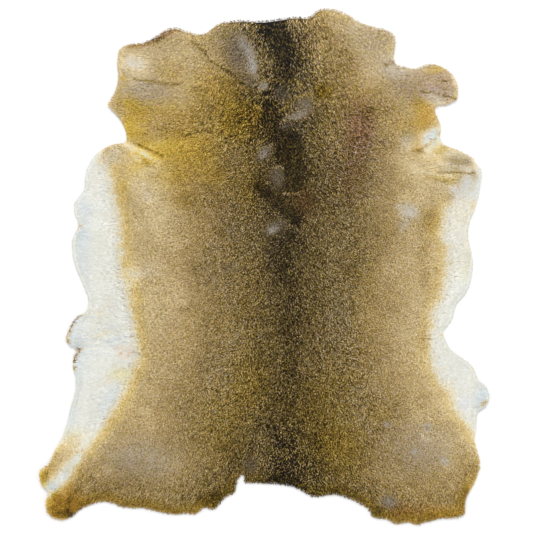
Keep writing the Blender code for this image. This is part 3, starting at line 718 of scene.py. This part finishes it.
def blend(tree, amount, first, second, kind="MIX"):
    settings = {"data_type": "RGBA", "blend_type": kind, "clamp_factor": True}
    return node(tree, "ShaderNodeMix", settings, {0: amount, 6: first, 7: second}).outputs[2]


def times(tree, vector, amount):
    made = node(tree, "ShaderNodeVectorMath", {"operation": "SCALE"}, {0: vector, "Scale": amount})
    return made.outputs[0]


def ramp(tree, value, stops):
    made = node(tree, "ShaderNodeValToRGB", None, {0: value})
    while len(made.color_ramp.elements) < len(stops):
        made.color_ramp.elements.new(0.5)
    for element, (position, colour) in zip(made.color_ramp.elements, stops):
        element.position = position
        element.color = colour
    return made.outputs[0]


def channels(tree, name):
    source = node(tree, "ShaderNodeAttribute", {"attribute_name": name})
    split = node(tree, "ShaderNodeSeparateColor", None, {0: source.outputs["Color"]})
    return (*split.outputs, source.outputs["Alpha"])


def objectSpot(tree):
    return node(tree, "ShaderNodeTexCoord").outputs["Object"]


def noise(tree, spot, scale, detail):
    made = node(tree, "ShaderNodeTexNoise", None, {"Vector": spot, "Scale": scale, "Detail": detail})
    return made.outputs[0]


def addBump(tree, shader, height, strength, depth):
    bump = node(tree, "ShaderNodeBump", None, {"Height": height, "Strength": strength, "Distance": depth})
    tree.links.new(bump.outputs[0], shader.inputs["Normal"])


def newMaterial(name, roughness, specular):
    material = bpy.data.materials.new(name)
    material.use_nodes = True
    tree = material.node_tree
    shader = tree.nodes["Principled BSDF"]
    shader.inputs["Roughness"].default_value = roughness
    shader.inputs["Specular IOR Level"].default_value = specular
    return material, tree, shader


coatColours = {
    # place on the coat: the dark of a hair's root and tip, and the light band before its tip, 0 to 255
    "tones": (
        (0.00, (5, 4, 3), (34, 30, 21)),
        (0.08, (12, 10, 6), (80, 68, 36)),
        (0.19, (30, 22, 6), (134, 113, 57)),
        (0.30, (61, 43, 13), (187, 159, 85)),
        (0.41, (98, 72, 29), (217, 187, 111)),
        (0.51, (140, 115, 60), (227, 204, 146)),
        (0.62, (168, 145, 94), (221, 202, 160)),
        (0.70, (189, 168, 115), (229, 213, 170)),
        (0.78, (204, 182, 129), (235, 219, 180)),
        (0.89, (212, 206, 184), (233, 229, 213)),
        (0.97, (213, 211, 202), (226, 225, 216)),
        (1.00, (217, 218, 211), (227, 227, 221)),
    ),
    "greys": (
        (0.00, (32, 29, 25), (70, 64, 56)),
        (0.30, (86, 75, 64), (128, 115, 100)),
        (0.55, (132, 124, 112), (172, 164, 152)),
        (0.80, (178, 172, 160), (208, 203, 193)),
        (1.00, (206, 204, 198), (224, 222, 216)),
    ),
    "calm": 0.5,                        # share that the two tones are drawn together there
    "tints": {                          # shares of red, green and blue light kept
        "golden": (1.08, 1.0, 0.38),
        "dull": (0.90, 0.97, 1.32),
        "mauve": (0.92, 0.74, 0.92),
        # blue: the tint of the painted cool shade at the white's rim, folds and partings
        "blue": (0.82, 0.89, 1.0),
        "pink": (1.0, 0.74, 0.60),
    },
    "goldClump": (1.0, 1.06, 0.55),     # half of the brown clumps tend to gold, the rest to mauve grey
    "greyClump": (1.04, 0.92, 1.40),
    "clumpFade": (0.38, 0.74),          # places over which that fades
    "bandStart": (0.42, 0.58),          # along the hair
    "bandEnd": (0.72, 0.84),
    "clumpSides": (0.35, 0.65),         # of a clump's own number, from one tint to the other
    "grain": 0.5,                       # spread of lightness between the strands of a hair
    "grainFade": (0.55, 0.95),
    "lightGrain": 0.1,                  # share of it left in the light hair
    "strands": 5.0,                     # across a hair
    "seedStep": 91.0,                   # between the strands of one hair and the next
    "gain": 1.19,                       # makes up for the shade between hairs
}


def easing(tree, value, start, end, low=0.0, high=1.0):
    return node(tree, "ShaderNodeMapRange", {"interpolation_type": "SMOOTHSTEP"},
                {0: value, 1: start, 2: end, 3: low, 4: high}).outputs[0]


def tinted(tree, colour, amount, tint):
    return blend(tree, amount, colour, blend(tree, 1.0, colour, tint, "MULTIPLY"))


def coatTones(tree, p, clumpTint=None):
    # dark and light tone: a ramp over the place on the coat, times the clump's tint, times each patch's
    # tint by its amount, mixed with a ramp of greys in the healed marks, and both drawn together where calm
    place, golden, dull, mauve = channels(tree, "zones")
    grey, blue, pink, calm = channels(tree, "marks")
    amounts = {"golden": golden, "dull": dull, "mauve": mauve, "blue": blue, "pink": pink}
    tones = []
    for column in (1, 2):
        colour = ramp(tree, place, [(stop[0], paint(*stop[column])) for stop in p["tones"]])
        if clumpTint is not None:
            colour = tinted(tree, colour, easing(tree, place, *p["clumpFade"], 1.0, 0.0), clumpTint)
        for kind, tint in p["tints"].items():
            colour = tinted(tree, colour, amounts[kind], (*tint, 1.0))
        greyTone = ramp(tree, place, [(stop[0], paint(*stop[column])) for stop in p["greys"]])
        tones.append(blend(tree, grey, colour, greyTone))
    middle = blend(tree, 0.5, *tones)
    dark, light = (blend(tree, calc(tree, "MULTIPLY", calm, p["calm"]), tone, middle) for tone in tones)
    return dark, light, place


def hairMaterial(p):
    # dark tone at the root and tip, light tone in a band from the middle almost to the tip, moved by the
    # clump's own shift; strands along the hair lighter or darker by noise across it
    material, tree, shader = newMaterial("tickedHair", 0.65, 0.2)
    length, across, seed, shift = channels(tree, "strand")
    side = easing(tree, seed, *p["clumpSides"])
    clumpTint = blend(tree, side, (*p["goldClump"], 1.0), (*p["greyClump"], 1.0))
    dark, light, place = coatTones(tree, p, clumpTint)
    at = calc(tree, "ADD", length, shift)
    start, end = easing(tree, at, *p["bandStart"]), easing(tree, at, *p["bandEnd"], 1.0, 0.0)
    colour = blend(tree, calc(tree, "MULTIPLY", start, end), dark, light)
    spot = node(tree, "ShaderNodeCombineXYZ", None, {0: calc(tree, "MULTIPLY", across, p["strands"]),
                                                     1: calc(tree, "MULTIPLY", seed, p["seedStep"])})
    strands = node(tree, "ShaderNodeTexNoise", {"noise_dimensions": "2D"},
                   {"Vector": spot.outputs[0], "Scale": 1.0, "Detail": 0.0}).outputs[0]
    grain = calc(tree, "MULTIPLY", calc(tree, "SUBTRACT", strands, 0.5),
                 easing(tree, place, *p["grainFade"], p["grain"], p["lightGrain"] * p["grain"]))
    bright = calc(tree, "MULTIPLY", calc(tree, "ADD", grain, 1.0), p["gain"])
    tree.links.new(times(tree, colour, bright), shader.inputs["Base Color"])
    shader.inputs["Sheen Weight"].default_value = 0.05
    shader.inputs["Sheen Roughness"].default_value = 0.4
    return material


woolLook = {
    "speckScale": 260.0,                # of the soft speckle, to a metre
    "speckBand": (0.4, 0.7),
    "speckMost": 0.7,
    "lightPlaces": (0.70, 0.88),        # over which the wool gets brighter, against the hairs' shade
    "lightGain": 1.2,
    "felt": 0.5,
    "feltDepth": 2.0 * mm,
}


def undercoatMaterial(colours, p):
    # the zone's dark tone with a soft speckle of its light tone, and fine felted bump
    material, tree, shader = newMaterial("undercoatWool", 0.85, 0.15)
    dark, light, place = coatTones(tree, colours)
    speck = noise(tree, objectSpot(tree), p["speckScale"], 2.0)
    low, high = p["speckBand"]
    amount = node(tree, "ShaderNodeMapRange", None,
                  {0: speck, 1: low, 2: high, 3: 0.0, 4: p["speckMost"]}).outputs[0]
    bright = easing(tree, place, *p["lightPlaces"], 1.0, p["lightGain"])
    tree.links.new(times(tree, blend(tree, amount, dark, light), bright), shader.inputs["Base Color"])
    addBump(tree, shader, speck, p["felt"], p["feltDepth"])
    return material


skinLook = {
    "pale": (222, 213, 194),
    "worn": (196, 182, 156),
    "vein": (168, 150, 124),
    "cloudScale": 6.0,                  # all to a metre
    "mottleScale": 70.0,
    "napScale": 900.0,
    "veinScale": 9.0,
    "veinBend": 0.12,
    "veinEdge": 0.05,
    "veinMost": 0.35,
    "mottle": 0.35,
    "nap": 0.35,
    "napDepth": 0.8 * mm,
}


def skinMaterial(p):
    # pale suede: broad worn clouds, a finer mottle, faint darker lines, and a short nap as bump
    material, tree, shader = newMaterial("tannedFleshSide", 0.88, 0.15)
    spot = objectSpot(tree)
    cloud, mottle, nap = (noise(tree, spot, p[key + "Scale"], detail)
                          for key, detail in (("cloud", 4.0), ("mottle", 3.0), ("nap", 2.0)))
    waver = node(tree, "ShaderNodeTexNoise", None, {"Vector": spot, "Scale": p["veinScale"]}).outputs[1]
    waver = times(tree, waver, p["veinBend"])
    bent = node(tree, "ShaderNodeVectorMath", {"operation": "ADD"}, {0: spot, 1: waver}).outputs[0]
    veins = node(tree, "ShaderNodeTexVoronoi", {"feature": "DISTANCE_TO_EDGE"},
                 {"Vector": bent, "Scale": p["veinScale"]}).outputs[0]
    line = node(tree, "ShaderNodeMapRange", None,
                {0: veins, 1: 0.0, 2: p["veinEdge"], 3: p["veinMost"], 4: 0.0}).outputs[0]
    colour = blend(tree, cloud, paint(*p["pale"]), paint(*p["worn"]))
    colour = blend(tree, calc(tree, "MULTIPLY", mottle, p["mottle"]), colour, paint(*p["worn"]))
    colour = blend(tree, line, colour, paint(*p["vein"]))
    tree.links.new(colour, shader.inputs["Base Color"])
    addBump(tree, shader, nap, p["nap"], p["napDepth"])
    return material


view = {
    "lens": 85.0,                       # millimetres
    "sensor": 36.0,                     # millimetres
    "frameWidth": 1.226,                # of floor across the picture
    "centre": (0.0055, 0.0002, 0.008),
}


def addCamera(p):
    # straight above the hide, +Y up in the picture
    data = bpy.data.cameras.new("viewCamera")
    data.lens = p["lens"]
    data.sensor_width = p["sensor"]
    camera = inScene("viewCamera", data)
    x, y, z = p["centre"]
    camera.location = (x, y, z + p["frameWidth"] * p["lens"] / p["sensor"])
    bpy.context.scene.camera = camera


light = {
    "skyColour": (1.0, 1.0, 1.0),
    "skyStrength": 0.78,
    "lampPlace": (0.0, 5.8, 7.4),       # beyond the neck, so creases across the hide are shaded
    "lampSize": 3.4,
    "lampPower": 430.0,
    "floorColour": (0.93, 0.93, 0.93),
    "floorSize": 8.0,
    "floorGap": 0.0004,
}


def addLight(p):
    world = bpy.data.worlds.new("softSky")
    world.use_nodes = True
    sky = world.node_tree.nodes["Background"]
    sky.inputs["Color"].default_value = (*p["skyColour"], 1.0)
    sky.inputs["Strength"].default_value = p["skyStrength"]
    bpy.context.scene.world = world
    data = bpy.data.lights.new("softLamp", "AREA")
    data.size = p["lampSize"]
    data.energy = p["lampPower"]
    lamp = inScene("softLamp", data)
    lamp.location = p["lampPlace"]      # and turned to the hide
    x, y, z = p["lampPlace"]
    lamp.rotation_euler = (math.atan2(math.hypot(x, y), z), 0.0, math.atan2(y, x) + math.pi / 2)
    material, _, shader = newMaterial("paleFloor", 0.9, 0.1)
    shader.inputs["Base Color"].default_value = (*p["floorColour"], 1.0)
    half, z = p["floorSize"] / 2, -p["floorGap"]
    mesh = bpy.data.meshes.new("floor")
    corners = [(-half, -half, z), (half, -half, z), (half, half, z), (-half, half, z)]
    mesh.from_pydata(corners, [], [(0, 1, 2, 3)])
    mesh.materials.append(material)
    inScene("floor", mesh)


def makeSkin(p, maps, flat, triangles, material):
    # the underside's own plan, from its height there up by the leather's depth
    under = read(maps, "under", flat[:, 0], flat[:, 1])
    points, faces = closeShell(flat, triangles, under, under + p["skinDepth"])
    return makeMesh("skin", points, faces, material)


def giveZones(mesh, zones):
    giveColours(mesh, "zones", zones["place"], zones["golden"], zones["dull"], zones["mauve"])
    giveColours(mesh, "marks", zones["grey"], zones["blue"], zones["pink"], zones["calm"])


undercoat = {
    "share": 0.42,                      # of the coat's depth that the wool fills
    "bellyMore": 0.16,                  # more of it under the white
    "roundOver": 9.0 * mm,              # over which it thins to the rim
    "bellyPlaces": (0.74, 0.88),        # places over which that grows
    "lump": (16 * mm, 0.5 * mm),        # wave length and height
    "sunk": 0.25 * mm,                  # into the leather, so that no slit shows
    "least": 0.1 * mm,
}


def coatHeight(p, maps, x, y, share):
    # the height at a share of the depth between the leather's face and the solid's top
    floorHeight = read(maps, "under", x, y) + p["skinDepth"]
    return floorHeight + share * np.maximum(read(maps, "top", x, y) - floorHeight, p["leastCoat"])


def makeUndercoat(p, u, maps, flat, triangles, material):
    # wool height = a share of the coat's depth, lumped, thinned by a quarter circle towards the rim
    x, y = flat.T
    near = np.clip(read(maps, "rim", x, y) / u["roundOver"], 0, 1)
    share = u["share"] + u["bellyMore"] * smoothStep(*u["bellyPlaces"], read(maps, "place", x, y))
    share = share * np.sqrt(np.maximum(1 - (1 - near) ** 2, 0))
    upper = coatHeight(p, maps, x, y, share) + near * wave(x, y, u["lump"], 31)
    lower = read(maps, "under", x, y) + p["skinDepth"] - u["sunk"]
    upper = np.maximum(upper, lower + u["least"])
    points, faces = closeShell(flat, triangles, lower, upper)
    piece = makeMesh("undercoat", points, faces, material)
    giveZones(piece.data, coatZones(maps, points[:, 0], points[:, 1]))
    return piece


hair = {
    "clumpGap": 2.06 * mm,
    "perClump": 2,
    "jitter": 0.48,                     # of the gap
    "spread": 0.5,                      # of the gap, radius of a clump's roots
    "gather": 0.5,                      # share of that spread lost at the tips
    "length": 6.2 * mm,                 # on the back
    "neckLength": 8.0 * mm,             # more over the neck
    "neckFrom": (230 * mm, 400 * mm),
    "flankLength": 6.2 * mm,            # more over the flanks
    "flankPlaces": (0.48, 0.74),
    "bellyLength": 15.0 * mm,           # more on the white belly
    "bellyPlaces": (0.88, 0.98),
    "markShort": 0.45,                  # share of the length lost on the healed marks
    "clumpSpread": (0.75, 1.25),        # shares of the length between clumps
    "hairSpread": (0.86, 1.1),          # between a clump's hairs
    "width": 1.15 * mm,
    "widthSpread": (0.75, 1.25),
    "shortNarrow": (0.5, 1.3),          # least and most of it for short and long hairs
    "lightPlaces": (0.68, 0.86),        # places over which the hair counts as light
    "lightWider": 0.60,                 # share more of width there
    "lightCalm": 0.65,                  # share less of lift and roll there
    "bend": 0.55,                       # along the hair
    "bendRise": 0.74,                   # of the whole rise
    "seen": 0.55,                       # along the hair, the place where its colours are read
    "seenInset": 1.5 * mm,              # and its distance from the rim
    "turnSpread": 17.0,                 # degrees between clumps
    "rollSpread": 0.6,                  # radians
    "stray": 0.3 * mm,                  # of a tip from its place in the clump
    "rootInset": 1.6 * mm,              # of a clump from the rim
    "hairInset": 0.96 * mm,             # of a hair's own root
    "overhang": 0.8 * mm,               # of a tip past the rim
    "fringe": 1.3 * mm,                 # more for the rim's own clumps
    "overSpread": (-1.2, 1.6),          # shares of that between hairs
    "leastCut": 0.05,                   # share of the length that the rim leaves
    "tipLow": 0.72,
    "tipHigh": 1.04,                    # shares of the coat's depth that tips reach
    "tipMiddle": 0.9,
    "alike": 0.3,                       # between 0 and 1, how far a clump's hairs share their place
    "mix": (                            # place, its spread between clumps, and between locks of clumps
        (-0.1, 0.03, 0.01), (0.0, 0.15, 0.015), (0.08, 0.26, 0.02), (0.14, 0.28, 0.02),
        (0.38, 0.29, 0.02), (0.52, 0.16, 0.02), (0.70, 0.055, 0.03), (0.80, 0.03, 0.03),
        (0.92, 0.01, 0.02), (1.0, 0.004, 0.012),
    ),
    "lockSteps": 4,                     # each way along the hair
    "lockStep": 2.4 * mm,
    "calm": 0.7,                        # share of that spread lost where the coat is calm
    "tickPlaces": (0.17, 0.03),         # places over which the darkest hair has only a few light ticks
    "tickFrom": 0.75,                   # spreads past which a hair there is one
    "tickLight": 1.7,                   # spreads of such a hair, and of the rest
    "tickDark": -0.3,
    "neckShade": 0.022,                 # longer hair is lighter, and this takes that back
    "bandSpread": 0.12,                 # of the light band along the hair, between hairs
    "rimBand": 0.16,                    # of it nearer the tip at the rim
    "rimPerSide": 5,                    # short clumps that point out over each side of the rim
    "rimInset": 2.8 * mm,
    "rimSpread": (0.5, 1.3),            # shares of that between them
    "rimLength": 7.0 * mm,
    "rimTurn": 24.0,                    # degrees between them
    "rimCombed": 0.45,                  # share of the combing in their direction
    "across": (0.12, 0.88),             # a hair's place in its clump's colours
    "acrossHalf": 0.1,                  # and half its width there
    "square": (0.1, 0.8),               # start and share of a clump's square that its hairs take in the map
    "bands": ("coatLeftFlank", "coatLeftBack", "coatSpine", "coatRightBack", "coatRightFlank"),
}


def clumpRoots(h, maps, points, ring):
    # a jittered square grid of places inside the rim, combed, and short clumps at the rim that point out
    xs = np.arange(maps["x"][0], maps["x"][-1], h["clumpGap"])
    ys = np.arange(maps["y"][0], maps["y"][-1], h["clumpGap"])
    x, y = (grid.ravel() for grid in np.meshgrid(xs, ys))
    x = x + chance.uniform(-1, 1, x.size) * h["jitter"] * h["clumpGap"]
    y = y + chance.uniform(-1, 1, y.size) * h["jitter"] * h["clumpGap"]
    inside = read(maps, "rim", x, y) > h["rootInset"]
    x, y = x[inside], y[inside]
    dx, dy = lie(maps, x, y)

    start, end = (np.repeat(points[ring[:, side], :2], h["rimPerSide"], axis=0) for side in (0, 1))
    share = chance.uniform(0, 1, (len(start), 1))
    edge = start + (end - start) * share
    run = end - start
    out = np.stack([run[:, 1], -run[:, 0]], axis=1) / np.linalg.norm(run, axis=1, keepdims=True)
    root = edge - out * h["rimInset"] * chance.uniform(*h["rimSpread"], (len(edge), 1))
    lieX, lieY = lie(maps, *root.T)
    turn = np.radians(h["rimTurn"]) * chance.standard_normal(len(root))
    rimX, rimY = out[:, 0] + h["rimCombed"] * lieX, out[:, 1] + h["rimCombed"] * lieY
    rimX, rimY = rimX * np.cos(turn) - rimY * np.sin(turn), rimX * np.sin(turn) + rimY * np.cos(turn)
    size = np.hypot(rimX, rimY)
    return {
        "x": np.concatenate([x, root[:, 0]]), "y": np.concatenate([y, root[:, 1]]),
        "dx": np.concatenate([dx, rimX / size]), "dy": np.concatenate([dy, rimY / size]),
        "atRim": np.concatenate([np.zeros(x.size), np.ones(len(root))]),
    }


def growBand(h, p, maps, name, clump, material):
    # each clump: roots in a disc, tips drawn together a hair's length away along the combing; a hair is a
    # kite of two triangles, from its root out to its widest place at the bend and in again to its tip
    rootX, rootY = clump["x"], clump["y"]
    clumps, count = rootX.size, h["perClump"]
    turn = np.radians(h["turnSpread"]) * chance.standard_normal(clumps)
    dx = clump["dx"] * np.cos(turn) - clump["dy"] * np.sin(turn)
    dy = clump["dx"] * np.sin(turn) + clump["dy"] * np.cos(turn)
    place, atRim = read(maps, "place", rootX, rootY), clump["atRim"]
    neck, light = smoothStep(*h["neckFrom"], rootY), smoothStep(*h["lightPlaces"], place)
    belly, flank = smoothStep(*h["bellyPlaces"], place), smoothStep(*h["flankPlaces"], place)
    length = h["length"] + h["neckLength"] * neck + h["bellyLength"] * belly
    length = length + h["flankLength"] * flank
    length = length * (1 - h["markShort"] * read(maps, "grey", rootX, rootY))
    length = (length * (1 - atRim) + h["rimLength"] * atRim) * chance.uniform(*h["clumpSpread"], clumps)
    seen = h["seen"] * length           # a hair takes its colour at its middle, or short of the rim
    inRoot = read(maps, "rim", rootX, rootY)
    inSeen = read(maps, "rim", rootX + dx * seen, rootY + dy * seen)
    seen = seen * np.clip((inRoot - h["seenInset"]) / np.maximum(inRoot - inSeen, 1e-5), 0.0, 1.0)
    zones = coatZones(maps, rootX + dx * seen, rootY + dy * seen)
    place = zones["place"]

    def wide(values):
        return np.repeat(values, count)

    hairs = clumps * count
    angle = chance.uniform(0, 2 * math.pi, hairs)
    radius = h["spread"] * h["clumpGap"] * np.sqrt(chance.uniform(0, 1, hairs))
    offX, offY = radius * np.cos(angle), radius * np.sin(angle)
    x, y = wide(rootX) + offX, wide(rootY) + offY
    outside = read(maps, "rim", x, y) < h["hairInset"]
    x = np.where(outside, wide(rootX), x)
    y = np.where(outside, wide(rootY), y)
    reach = wide(length) * chance.uniform(*h["hairSpread"], hairs)
    tipX = x + wide(dx) * reach - offX * h["gather"] + chance.normal(0, h["stray"], hairs)
    tipY = y + wide(dy) * reach - offY * h["gather"] + chance.normal(0, h["stray"], hairs)
    inRoot, inTip = read(maps, "rim", x, y), read(maps, "rim", tipX, tipY)
    over = (h["overhang"] + h["fringe"] * wide(atRim)) * chance.uniform(*h["overSpread"], hairs)
    cut = np.clip((inRoot + over) / np.maximum(inRoot - inTip, 1e-5), h["leastCut"], 1.0)
    cut = np.where(inTip < -over, cut, 1.0)
    tipX, tipY = x + (tipX - x) * cut, y + (tipY - y) * cut
    midX, midY = x + (tipX - x) * h["bend"], y + (tipY - y) * h["bend"]

    calm = wide(1 - h["lightCalm"] * light)
    lift = chance.uniform(h["tipLow"], h["tipHigh"], hairs)
    lift = h["tipMiddle"] + (lift - h["tipMiddle"]) * calm
    rootZ = coatHeight(p, maps, x, y, 0.0)
    tipZ = coatHeight(p, maps, tipX, tipY, lift)
    midZ = rootZ + (coatHeight(p, maps, midX, midY, lift) - rootZ) * h["bendRise"]
    roll = chance.uniform(-1, 1, hairs) * h["rollSpread"] * calm
    flat = np.maximum(np.hypot(tipX - x, tipY - y), 1e-6)
    half = h["width"] / 2 * chance.uniform(*h["widthSpread"], hairs)
    half = half * np.clip(flat / h["length"], *h["shortNarrow"]) * wide(1 + h["lightWider"] * light)
    side = half * np.cos(roll) / flat
    sideX, sideY, sideZ = -(tipY - y) * side, (tipX - x) * side, half * np.sin(roll)

    points = np.empty((hairs, 4, 3))
    points[:, 0] = np.stack([x, y, rootZ], axis=1)
    points[:, 1] = np.stack([midX - sideX, midY - sideY, midZ - sideZ], axis=1)
    points[:, 2] = np.stack([midX + sideX, midY + sideY, midZ + sideZ], axis=1)
    points[:, 3] = np.stack([tipX, tipY, tipZ], axis=1)
    first = np.arange(hairs)[:, None] * 4
    faces = np.concatenate([first + [0, 1, 2], first + [2, 1, 3]], axis=1).reshape(-1, 3)
    piece = makeMesh(name, points.reshape(-1, 3), faces, material)

    mesh = piece.data
    across = chance.uniform(*h["across"], hairs)[:, None] + h["acrossHalf"] * np.array([0, -1, 1, 0])
    part = np.broadcast_to([0.0, h["bend"], h["bend"], 1.0], across.shape)
    seed = chance.uniform(0, 1, hairs)
    shift = h["bandSpread"] * chance.standard_normal(hairs).clip(-2, 2) - h["rimBand"] * wide(atRim)
    places, alone, together = np.array(h["mix"]).T
    own = h["alike"] * wide(chance.standard_normal(clumps))
    own = (own + math.sqrt(1 - h["alike"] ** 2) * chance.standard_normal(hairs)).clip(-2, 2)
    few = wide(smoothStep(*h["tickPlaces"], place))
    own = own + few * (np.where(own > h["tickFrom"], h["tickLight"], h["tickDark"]) - own)
    wild = (1 - h["calm"] * zones["calm"]) * np.interp(place, places, alone)
    locks = streaks(maps, rootX, rootY, h["lockSteps"], h["lockStep"]).clip(-2, 2)
    base = place + np.interp(place, places, together) * locks
    # painted shade over the neck, taking back the extra light that its longer hair catches
    base = base - h["neckShade"] * neck
    zones = {key: wide(value) for key, value in zones.items()}
    zones["place"] = (wide(base) + wide(wild) * own).clip(0, 1)

    giveColours(mesh, "strand", part.ravel(), across.ravel(), np.repeat(seed, 4), np.repeat(shift, 4))
    giveZones(mesh, {key: np.repeat(value, 4) for key, value in zones.items()})
    # one square of the map for each clump: the hair's length along it, its place in the clump across it
    cells = math.ceil(math.sqrt(clumps))
    order = np.empty(clumps, int)
    order[np.lexsort((rootX, np.floor(rootY / (2 * h["clumpGap"]))))] = np.arange(clumps)
    column, row = (np.repeat(number, count * 4) for number in (order % cells, order // cells))
    start, share = h["square"]
    u = (column + start + share * part.ravel()) / cells
    v = (row + start + share * across.ravel()) / cells
    spots = np.stack([u, v], axis=1)[faces.ravel()]
    mesh.uv_layers.new(name="OFBake").data.foreach_set("uv", spots.astype(np.float32).ravel())
    return piece


addCamera(view)
addLight(light)
print("camera, light and floor made")
solidPoints, solidTriangles = readSolid(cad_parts["hide"])
upper, lower, ring, body = splitSolid(solidPoints, solidTriangles)
maps = makeMaps(plan, solidPoints, upper, lower, ring)
print("plan maps made,", len(ring), "rim sides,", len(body), "plan triangles")
used, renumbered = np.unique(body, return_inverse=True)
flat, body = halve(solidPoints[used][:, :2], renumbered.reshape(-1, 3))
skin = makeSkin(plan, maps, flat, body, skinMaterial(skinLook))
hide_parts("hide")
wool = makeUndercoat(plan, undercoat, maps, flat, body, undercoatMaterial(coatColours, woolLook))
print("skin and undercoat made")
clumps = clumpRoots(hair, maps, solidPoints, ring)
edges = np.quantile(clumps["x"], np.linspace(0, 1, len(hair["bands"]) + 1))
ticked = hairMaterial(coatColours)
for index, name in enumerate(hair["bands"]):
    low, high = edges[index], edges[index + 1]
    mine = (clumps["x"] >= low) & ((clumps["x"] < high) | (index == len(hair["bands"]) - 1))
    ownClumps = {key: values[mine] for key, values in clumps.items()}
    piece = growBand(hair, plan, maps, name, ownClumps, ticked)
    print(name, "made of", mine.sum(), "clumps,", len(piece.data.polygons), "triangles")
bpy.context.scene.view_settings.view_transform = "Standard"
